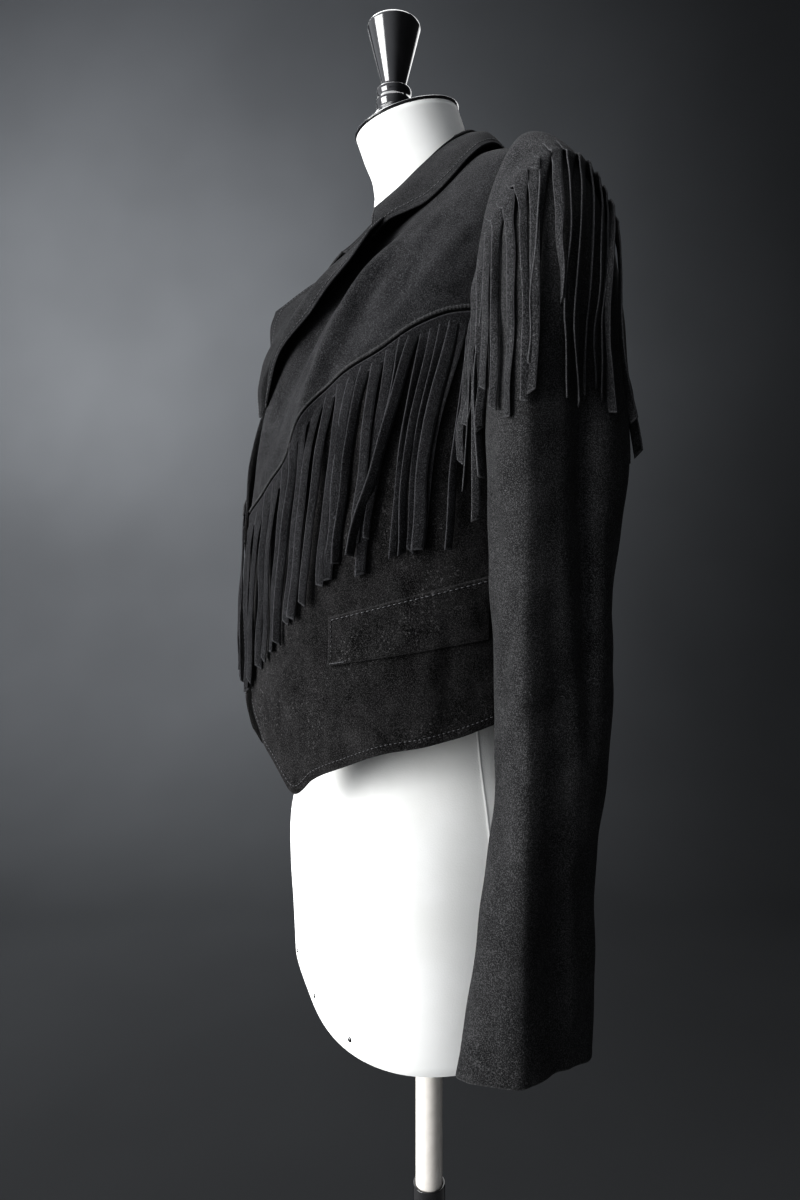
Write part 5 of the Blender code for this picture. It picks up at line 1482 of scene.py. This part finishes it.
def strand_head(read, middle, at):
    """The upper end of a strand, sunk into the strip, and its outward directions."""
    turn, along = np.full(HEAD, middle), at + np.linspace(-0.50, 0.0, HEAD)
    sunk = 0.0003 - ROOT_DEPTH * np.linspace(1, 0, HEAD) ** 3
    head = read(turn, along, strip_lift(middle) + 0.5 * STRIP + sunk)
    return head, unit(read(turn, along, np.ones(HEAD)) - read(turn, along, np.zeros(HEAD)))


def strand_facing(path, head_out):
    """Outward as the sleeve head's at the root, then round the arm's own upright axis."""
    angle = np.radians(90 * np.clip((path[:, 1] - 0.012) / 0.05, -1, 1))
    side_out = np.stack([np.cos(angle), np.sin(angle), 0 * angle], -1)
    blend = soft_step(np.arange(len(path)), 3, 12)[:, None]
    start_out = np.concatenate([head_out, np.tile(head_out[-1], (len(path) - HEAD, 1))])
    return unit(start_out * (1 - blend) + side_out * blend)


print("a strand starts %.2f mm off the sleeve" % (1000 * strip_lift(20.0)))


# %% The armhole's strip and strands
def arm_fringe(word, side, seed):
    """The strip over the sleeve head, and strands that run on from it and hang round the arm."""
    draw = np.random.default_rng(seed)
    rows = uneven(ARM_STRANDS, side, seed, turn=1.6, width=0.0006, y_a=0.0016, y_b=0.0022,
                  y_tip=0.0030, tip=0.010, twist_a=18, twist_b=24)
    turns = np.arange(0, 360, TURN_STEP)
    skin, outward = sleeve_skin(turns, np.arange(0, 9.01, RING_STEP), side)
    read = net_reader(skin, outward)
    flat = skin[:, np.abs((turns + 180) % 360 - 180) < 98].reshape(-1, 3)

    def reach(y, height):
        """How far out the sleeve reaches at each depth and height of a strand's path."""
        apart = np.hypot(flat[None, :, 1] - y[:, None], flat[None, :, 2] - height[:, None])
        return smooth(np.where(apart < 0.0045, flat[None, :, 0], 0.0).max(axis=1))

    turn, share = np.meshgrid(np.linspace(ARM_FRONT_TURN, ARM_BACK_TURN, 260), spread(30)[::-1])
    slit = np.interp(turn, rows["turn"][::-1], rows["slit"][::-1])
    strip = read(turn, STRIP_START + (slit - STRIP_START) * share, strip_lift(turn) + STRIP)
    strip_out = net_normal(strip)
    parts = [sheet_arrays(strip, strip_out * np.sign(strip_out[10, 130, 0]), STRIP)]
    cuts = midways(rows["turn"], ARM_FRONT_TURN, ARM_BACK_TURN)
    for i, row in enumerate(zip(*rows.values())):
        middle, at, width, x_tip, y_a, y_b, y_tip, tip, twist_a, twist_b, lift = row
        head, head_out = strand_head(read, middle, at)
        root, heading = head[-1], unit(head[-1] - head[-2])
        sides_of_root = read(cuts[i:i + 2], np.array([at, at]), np.zeros(2))
        root_width = np.linalg.norm(sides_of_root[1] - sides_of_root[0])
        fall = np.linspace(0, 1, 40)[1:]
        height = root[2] + (tip - root[2]) * fall
        # its depth runs through the table's three, starting the way that the strip points
        y = bend(np.array([root[1], y_a, y_b, y_tip]), 3 * fall)
        y += 0.004 * heading[1] * np.sin(pi * np.clip(4 * fall, 0, 1))
        y += draw.uniform(-0.0014, 0.0014) * fall * np.sin(5 * pi * fall + draw.uniform(0, 6))
        # it hangs free to its own tip, or lies on the sleeve wherever the sleeve reaches it
        if x_tip > 0:
            x = root[0] + (x_tip - root[0]) * soft_step(fall, -0.5, 1.1)
            x += 0.004 * np.sin(pi * fall)
        else:
            free = root[0] + 0.010 * heading[0] * (1 - np.exp(-fall * 9))
            off = STRIP + lift * np.minimum(fall * 3, 1)
            x = smooth(np.maximum(free, reach(y, height) + off))
        path = np.concatenate([head, np.stack([x, y, height], axis=-1)])
        # as wide as its share of the strip at the root, then drawn in, and cut unevenly
        share = np.concatenate([np.zeros(HEAD), fall])
        wide = width + (root_width - width) * (1 - soft_step(share, 0.0, 0.16))
        wide *= 1 + 0.07 * share * np.sin(draw.uniform(9, 14) * share + draw.uniform(0, 6))
        twist = np.radians(twist_a * np.sin(pi * np.clip(1.4 * share, 0, 1))
                           + twist_b * soft_step(share, 0.2, 1.0))
        parts.append(strand(path, strand_facing(path, head_out), wide, twist,
                            draw.uniform(-0.0026, 0.0026)))
    points, faces, edge = join(parts)
    piece = make("arm_fringe_suede_" + word, points, faces, side, edge, FRINGE_SUEDE)
    return dress(piece, "armhole_fringe_" + word)


ARM_FRINGES = {word: arm_fringe(word, side, seed) for (word, side), seed in zip(SIDES, (3, 5))}
print("arm fringe triangles:", COUNTS["arm_fringe_suede_left"])

# %% [markdown]
# ## The dress form
#
# The form is one smooth body: ovals up to the chest, shoulders that carry the jacket just inside
# the cloth, and a neck that leans forward. All its rings are laid in one stack and a smooth
# curve is drawn up through them. The cover's seam runs down each side as a thin ridge.

# %% The form's sizes
FORM = table(
    "height half_width front back middle",
    (0.857, 0.168, 0.1145, 0.108, 0.000),
    (0.900, 0.176, 0.116, 0.113, 0.000),
    (0.950, 0.175, 0.119, 0.116, 0.000),
    (1.000, 0.168, 0.118, 0.114, 0.000),
    (1.050, 0.151, 0.109, 0.102, 0.000),
    (1.100, 0.132, 0.097, 0.090, 0.000),
    (1.150, 0.129, 0.100, 0.089, 0.000),
    (1.200, 0.138, 0.120, 0.095, 0.000),
    (1.240, 0.146, 0.143, 0.101, 0.000),
    (1.270, 0.150, 0.154, 0.106, 0.000),
    (1.300, 0.152, 0.151, 0.110, 0.000),
    (1.350, 0.153, 0.134, 0.112, 0.001),
    (1.400, 0.154, 0.113, 0.108, 0.002),
    (1.440, 0.154, 0.096, 0.100, 0.005))
REST_GAP, REST_LOW, REST_TOP = 0.0014, 1.470, 1.5650
CHEST_SLIM = 0.0080         # the front of the chest stays clear of the hollows in the cloth
SLIM_UP_TO, SLIM_GONE = 1.49, 1.53          # heights between which that ends
SLIM_FRONT, SLIM_SIDE = 34, 56              # and turns
NECK_FOOT_FLARE, NECK_FOOT_POWER, NECK_JOIN = 0.35, 1.3, 20
LEANING = "height y radius lean"
NECK = table(LEANING, (1.5670, 0.0, 0.0500, 3.0), (1.5860, -0.0040, 0.0490, 6.0),
             (1.6060, -0.0120, 0.0486, 12.0), (1.6300, -0.0210, 0.0483, 17.0))
CAP = table(LEANING, (1.6303, -0.0211, 0.0486, 17.0), (1.6312, -0.0214, 0.0494, 17.0),
            (1.6326, -0.0218, 0.0488, 17.0), (1.6350, -0.0228, 0.0420, 16.0),
            (1.6382, -0.0262, 0.0290, 11.0), (1.6405, -0.0312, 0.0190, 4.0),
            (1.6420, -0.0335, 0.0162, 0.0))
print("the form's waist is", round(2000 * FORM["half_width"].min()), "mm wide")


# %% The form's surface
def leaning_rings(rings, turn):
    """Circles tipped forward: the forward part of the radius is shared between level and rise
    by the cosine and sine of the lean."""
    angle = np.radians(turn)
    levels = []
    for height, y, radius, lean in zip(*rings.values()):
        forward = -radius * np.cos(angle)
        levels.append(np.stack([radius * np.sin(angle), y + forward * cos(radians(lean)),
                                height + forward * sin(radians(lean))], axis=-1))
    return np.array(levels)


def shoulder_ring(turn, height, even):
    """One level of the shoulders: just inside the cloth, or out to the foot of the neck. even
    says how far its corners keep to even headings instead of the cloth's own turns."""
    fine = np.linspace(-180, 180, 721)
    slim = CHEST_SLIM * (1 - soft_step(height, SLIM_UP_TO, SLIM_GONE)) * (
        1 - soft_step(np.abs(fine), SLIM_FRONT, SLIM_SIDE))
    depth = SUEDE + REST_GAP + slim[:, None]
    inside = girth_point(JACKET, fine, height) - depth * girth_normal(JACKET, fine, height)
    heading = np.degrees(np.unwrap(np.arctan2(inside[:, 0], -inside[:, 1])))
    neck = NECK["radius"][0] + NECK_FOOT_FLARE * (NECK["height"][0] - height) ** NECK_FOOT_POWER
    reach = np.hypot(inside[:, 0], inside[:, 1])
    reach = (reach**NECK_JOIN + neck**NECK_JOIN) ** (1 / NECK_JOIN)
    at = np.interp(turn, fine, heading) * (1 - even) + turn * even
    reach, level = np.interp(at, heading, reach), np.interp(at, heading, inside[:, 2])
    angle = np.radians(at)
    return np.stack([reach * np.sin(angle), -reach * np.cos(angle), level], axis=-1)


def stacked(levels):
    """A closed body through rings of points, lowest first, with a flat fan at each end."""
    levels = np.asarray(levels)
    rings, count = levels.shape[:2]
    middles = np.stack([levels[0].mean(axis=0), levels[-1].mean(axis=0)])
    net = tube_net(rings, count)
    foot, top = np.full(count, rings * count), np.full(count, rings * count + 1)
    walls = quads(net)
    triangles = np.concatenate([walls[:, [0, 1, 2]], walls[:, [0, 2, 3]],
                                np.stack([net[0, 1:], net[0, :-1], foot], -1),
                                np.stack([net[-1, :-1], net[-1, 1:], top], -1)])
    return np.concatenate([levels.reshape(-1, 3), middles]), triangles


print("the form's neck is", round(2000 * NECK["radius"][-1]), "mm across")


# %% The form
FORM_SEAM = 87.8            # turn of the cover's side seam
FORM_FOOT = 0.857
SEAM_RISE, SEAM_SPREAD = 0.0005, 0.45       # its height in metres and its width in degrees
BELLY_FULLNESS, FULL_UP_TO, FULL_GONE = 0.12, 0.98, 1.12


def fullness(turn, height):
    """How much fuller than an oval the belly is between its front and its sides."""
    share = BELLY_FULLNESS * (1 - soft_step(height, FULL_UP_TO, FULL_GONE))
    front = np.abs(turn) < 90
    grown = 1 + np.where(front, share * np.sin(np.radians(2 * turn)) ** 2, 0.0)
    return np.stack([grown, grown, np.ones(len(turn))], axis=-1)


def form_torso():
    """Rings of the body, the shoulders and the neck in one stack."""
    seam = np.array([-1.0, -0.6, -0.3, 0.0, 0.3, 0.6, 1.0])
    turn = np.sort(np.concatenate([np.arange(-180, 180, 2.5), FORM_SEAM + seam, -FORM_SEAM + seam]))
    turn = turn[np.insert(np.diff(turn) > 0.05, 0, True)]
    levels = [girth_point(FORM, turn, height) * fullness(turn, height)
              for height in np.concatenate([[FORM_FOOT], np.linspace(0.900, 1.440, 13)])]
    levels += [shoulder_ring(turn, REST_LOW + share * (REST_TOP - REST_LOW), share)
               for share in np.linspace(0, 1, 10)]
    levels = np.concatenate([levels, leaning_rings(NECK, turn)])
    skin = bend(levels, np.linspace(0, len(levels) - 1, 150))
    ridge = SEAM_RISE * np.exp(-((np.abs(turn) - FORM_SEAM) / SEAM_SPREAD) ** 2)
    low = 1 - soft_step(skin[:, :, 2], 1.30, 1.40)
    outward = unit(skin * np.array([1, 1, 0]))
    skin = skin + (ridge * low)[..., None] * outward
    points, faces = stacked(skin)
    return dress(make("form_cover", points, faces, 1, None, COVER), "form_torso")


# Small rivets hold the cover's lower edge.
RIVET_TURNS, RIVET_HEIGHT = (14.5, 38.0, 142.0, 165.5), 0.868
RIVET_RADIUS, RIVET_RISE = 0.0019, 0.0009


def rivets():
    """A low dome at each place: rings of 12 points about the form's outward direction."""
    parts = []
    for side in (1, -1):
        for at in RIVET_TURNS:
            turn, height = np.array([side * at]), np.array([RIVET_HEIGHT])
            centre = (girth_point(FORM, turn, height) * fullness(turn, RIVET_HEIGHT))[0]
            out = unit(centre * np.array([1.0, 1.0, 0.0]))
            across = np.array([-out[1], out[0], 0.0])
            around = np.arange(12) * pi / 6
            rings = [centre + out * rise + RIVET_RADIUS * width * (
                np.cos(around)[:, None] * across + np.sin(around)[:, None] * np.array([0, 0, 1.0]))
                for rise, width in ((-0.003, 1.0), (0.0003, 1.0), (0.7 * RIVET_RISE, 0.75),
                                    (RIVET_RISE, 0.3))]
            points, faces = stacked(rings)
            parts.append((points, faces, np.zeros(len(points))))
    points, faces, _ = join(parts)
    return dress(make("form_rivets", points, faces, 1, None, GLOSS_BLACK), None)


form_torso()
rivets()
print("form triangles:", COUNTS["form_cover"], "and in the rivets:", COUNTS["form_rivets"])

# %% [markdown]
# ## Neck cap, finial and stand
#
# Turned wood and metal are a profile spun about an axis. The profile is a few points, top to
# bottom, with a smooth curve through them, or straight runs where a lathe leaves them.

# %% Turned pieces
FINIAL_Y = -0.0335
FINIAL_BASE = CAP["height"][-1] + SEAM_GAP
FINIAL = table(
    "radius height",
    (0.0000, 0.0802), (0.0130, 0.0800), (0.0195, 0.0792), (0.0228, 0.0776), (0.0240, 0.0750),
    (0.0234, 0.0718), (0.0193, 0.0554), (0.0151, 0.0389), (0.0110, 0.0225), (0.0120, 0.0205),
    (0.0152, 0.0180), (0.0158, 0.0150),
    (0.0148, 0.0108), (0.0165, 0.0060), (0.0150, 0.0000), (0.0000, 0.0000))


def lathe(name, profile, centre, paint, node_name, sides=96):
    """A profile of (radius, height) points from top to bottom, spun about an upright axis."""
    angle = np.arange(sides) * 2 * pi / sides
    inner = profile[profile[:, 0] > 1e-6][::-1]
    levels = np.stack([inner[:, :1] * np.cos(angle), inner[:, :1] * np.sin(angle),
                       inner[:, 1:] + 0 * angle], axis=-1) + np.asarray(centre)
    points, faces = stacked(levels)
    return dress(make(name, points, faces, 1, None, paint), node_name)


def smooth_profile(rows, steps):
    """The profile's smooth curve, through every row but the two on the axis."""
    points = np.stack([rows["radius"], rows["height"]], axis=-1)[1:-1]
    return bend(points, np.linspace(0, len(points) - 1, steps))


knob = smooth_profile(FINIAL, 120)
(rim_radius, rim_height), peak = knob[0], FINIAL["height"][0]
crown_radius = np.linspace(0.0005, rim_radius, 8)[:-1]
crown_height = peak - (peak - rim_height) * (crown_radius / rim_radius) ** 2
crown = np.stack([crown_radius, crown_height], axis=-1)
lathe("finial_paint", np.concatenate([crown, knob]), (0, FINIAL_Y, FINIAL_BASE),
      GLOSS_BLACK, "finial")
cap_turn = np.arange(128) * 360 / 128
cap_points, cap_faces = stacked(bend(leaning_rings(CAP, cap_turn), np.linspace(0, 6, 60)))
dress(make("neck_cap_paint", cap_points, cap_faces, 1, None, GLOSS_BLACK),
      "neck_cap")
print("the finial's top is at %.4f m" % (FINIAL_BASE + peak))

# %% The pole, tube and base
POLE_RADIUS, POLE_LOW = 0.0125, 0.4000
TUBE_RADIUS, TUBE_BORE, TUBE_TOP, TUBE_FOOT = 0.0150, 0.0129, 0.6570, 0.0240


def rounded(points, radius=0.0006, steps=5):
    """A profile whose corners are cut by small quarter turns."""
    made = [points[0]]
    for before, corner, after in zip(points, points[1:], points[2:]):
        before, corner, after = (np.array(p, float) for p in (before, corner, after))
        start = corner + unit(before - corner) * min(radius, np.linalg.norm(before - corner) / 3)
        end = corner + unit(after - corner) * min(radius, np.linalg.norm(after - corner) / 3)
        for t in np.linspace(0, 1, steps):
            made.append((1 - t) ** 2 * start + 2 * t * (1 - t) * corner + t**2 * end)
    return np.array(made + [points[-1]])


foot = FORM_FOOT - SEAM_GAP
lathe("pole_enamel", rounded([
    (0.0001, foot), (POLE_RADIUS, foot), (POLE_RADIUS, POLE_LOW), (0.0001, POLE_LOW)]),
    (0, 0, 0), CREAM, "pole")
lathe("tube_paint", rounded([
    (0.0001, POLE_LOW - SEAM_GAP), (TUBE_BORE, POLE_LOW - SEAM_GAP), (TUBE_BORE, TUBE_TOP),
    (TUBE_RADIUS, TUBE_TOP), (TUBE_RADIUS, TUBE_FOOT), (0.0001, TUBE_FOOT)]),
    (0, 0, 0), GLOSS_BLACK, "stand_tube")
lathe("base_paint", rounded([
    (0.0001, 0.0237), (0.0300, 0.0237), (0.0340, 0.0140), (0.1840, 0.0120), (0.1900, 0.0070),
    (0.1900, 0.0000), (0.0001, 0.0000)], 0.002),
    (0, 0, 0), GLOSS_BLACK, "stand_base")
print("the tube runs from %.3f to %.3f m, the pole up to %.4f m" % (TUBE_FOOT, TUBE_TOP, foot))

# %% [markdown]
# ## Sheets
#
# The number of suede sheets: five on each side, with the back and the collar.

# %% Sheets
print("sheets:", 5 * len(SIDES) + 2)

# %% [markdown]
# ## Floor, backdrop and light
#
# A grey floor, and behind the stand a wide roll of grey paper that hangs down and sweeps out
# onto the floor, so that no line shows where wall and floor meet. One large soft light, like a
# window, stands to the front and a little above. It rakes across the nap and leaves the sides
# that face away nearly black. A dim, wide light behind and above keeps the back of the jacket
# readable from there, a small one overhead lifts the shoulders, and a fourth makes a soft pool
# on the paper only. The room around is dark, and a little lighter towards the window.

# %% Floor and backdrop
FACING = Vector((-sin(radians(CAMERA_TURN)), cos(radians(CAMERA_TURN)), 0))
ASIDE = Vector((cos(radians(CAMERA_TURN)), sin(radians(CAMERA_TURN)), 0))
PAPER_START, PAPER_WALL, PAPER_CURVE = 0.62, 3.4, 1.2   # behind the stand, and its radius
PAPER_HALF, PAPER_TOP = 3.6, 4.6
POOL = tuple(FACING * PAPER_WALL - ASIDE * 1.65 + Vector((0, 0, 2.35)))


def paper_with_painted_pool(name, pale, dark):
    """Matt paper whose colour is painted lighter round the pool, a painted pool of light on top of
    the lamp's own, with faint clouds.
    """
    made, tree, shader, place = new_material(name)
    away = node(tree, "VectorMath", {0: place, 1: POOL}, operation="DISTANCE").outputs["Value"]
    # Painted pool of light: the paper's colour runs from pale near the pool to dark away from it.
    light = band(tree, away, 0.2, 4.0, pale, dark)
    cloud = plus(tree, 0.82, times(tree, noise(tree, place, 1.1, 3.0), 0.36))
    tint = node(tree, "VectorMath", {0: (0.97, 1.0, 1.04), "Scale": times(tree, light, cloud)},
                operation="SCALE")
    tree.links.new(tint.outputs[0], shader.inputs["Base Color"])
    hold(shader, {"Roughness": 0.95, "Specular IOR Level": 0.1})
    return made


def stage_net(name, points, rows, colour):
    """A stage piece from a net of points."""
    faces = quads(np.arange(len(points)).reshape(rows, -1))
    make(name, points, faces, 1, None, colour)


quarter = np.linspace(0, pi / 2, 24)
run = np.concatenate([[PAPER_START], PAPER_WALL - PAPER_CURVE + PAPER_CURVE * np.sin(quarter),
                      [PAPER_WALL]])
rise = np.concatenate([[0.0], PAPER_CURVE * (1 - np.cos(quarter)), [PAPER_TOP]]) + 0.0015
across = np.linspace(-PAPER_HALF, PAPER_HALF, 2)
paper = (run[:, None, None] * np.array(FACING) + across[None, :, None] * np.array(ASIDE)
         + rise[:, None, None] * np.array([0, 0, 1.0])).reshape(-1, 3)
# The backdrop's colour holds a painted pool of light, on top of the pool lamp's own.
stage_net("backdrop", paper, len(run), paper_with_painted_pool("backdrop paper with painted pool", 0.220, 0.034))
floor = np.array([(x, y, 0.0) for y in (-8.0, 8.0) for x in (-8.0, 8.0)])
stage_net("floor", floor, 2,
          finish("grey floor", (0.20, 0.20, 0.20), 0.8, (0.17, 0.17, 0.17), 2.0, 0.0005, 60.0))
print("backdrop %.1f m behind" % PAPER_WALL)


# %% Lights
def soft_light(name, place, aim, width, height, power):
    """A large rectangular light turned towards a point, unseen by the camera."""
    data = bpy.data.lights.new(name, "AREA")
    data.shape = "RECTANGLE"
    data.size, data.size_y = width, height
    data.energy = power
    lamp = bpy.data.objects.new(name, data)
    lamp.location = place
    lamp.rotation_euler = (Vector(aim) - Vector(place)).to_track_quat("-Z", "Y").to_euler()
    lamp.visible_camera = False
    bpy.context.scene.collection.objects.link(lamp)


def direction(turn, level, up):
    """A direction: a turn from the jacket's front, and how far it goes level and up."""
    return Vector((sin(radians(turn)) * level, -cos(radians(turn)) * level, up))


WINDOW_TURN, WINDOW_RISE, BACK_TURN, AWAY = 6.0, 3.0, 238.0, 2.5
aim = Vector((0.05, 0, 1.30))
towards = direction(WINDOW_TURN, cos(radians(WINDOW_RISE)), sin(radians(WINDOW_RISE)))
soft_light("window", aim + AWAY * towards, aim, 1.7, 1.9, 112)
soft_light("back fill", aim + AWAY * direction(BACK_TURN, 0.82, 0.57), aim, 2.3, 2.3, 24)
soft_light("ceiling", Vector((-0.3, -0.2, 3.1)), Vector((0, 0, 1.5)), 1.6, 1.6, 26)
soft_light("paper pool", Vector(POOL) - FACING * 1.5 - ASIDE * 0.2, POOL, 0.7, 0.7, 9)
world = bpy.data.worlds.new("room")
world.use_nodes = True
tree = world.node_tree
to_window = node(tree, "VectorMath", {0: node(tree, "TexCoord").outputs["Generated"],
                                      1: tuple(towards)}, operation="DOT_PRODUCT")
room = band(tree, to_window.outputs["Value"], -0.2, 1.0, 0.06, 1.05)
seen = node(tree, "LightPath").outputs["Is Camera Ray"]
strength = node(tree, "Mix", {"Factor": seen, "A": room, "B": 0.30}, data_type="FLOAT")
tree.links.new(strength.outputs["Result"], tree.nodes["Background"].inputs["Strength"])
tree.nodes["Background"].inputs["Color"].default_value = (0.97, 1.0, 1.05, 1.0)
bpy.context.scene.world = world
bpy.context.scene.view_settings.view_transform = "Standard"
bpy.context.scene.view_settings.look = "High Contrast"

# %% [markdown]
# ## Triangles and the end
#
# The count of triangles in all the pieces made here.

# %% Triangles
print("triangles:", sum(COUNTS.values()))
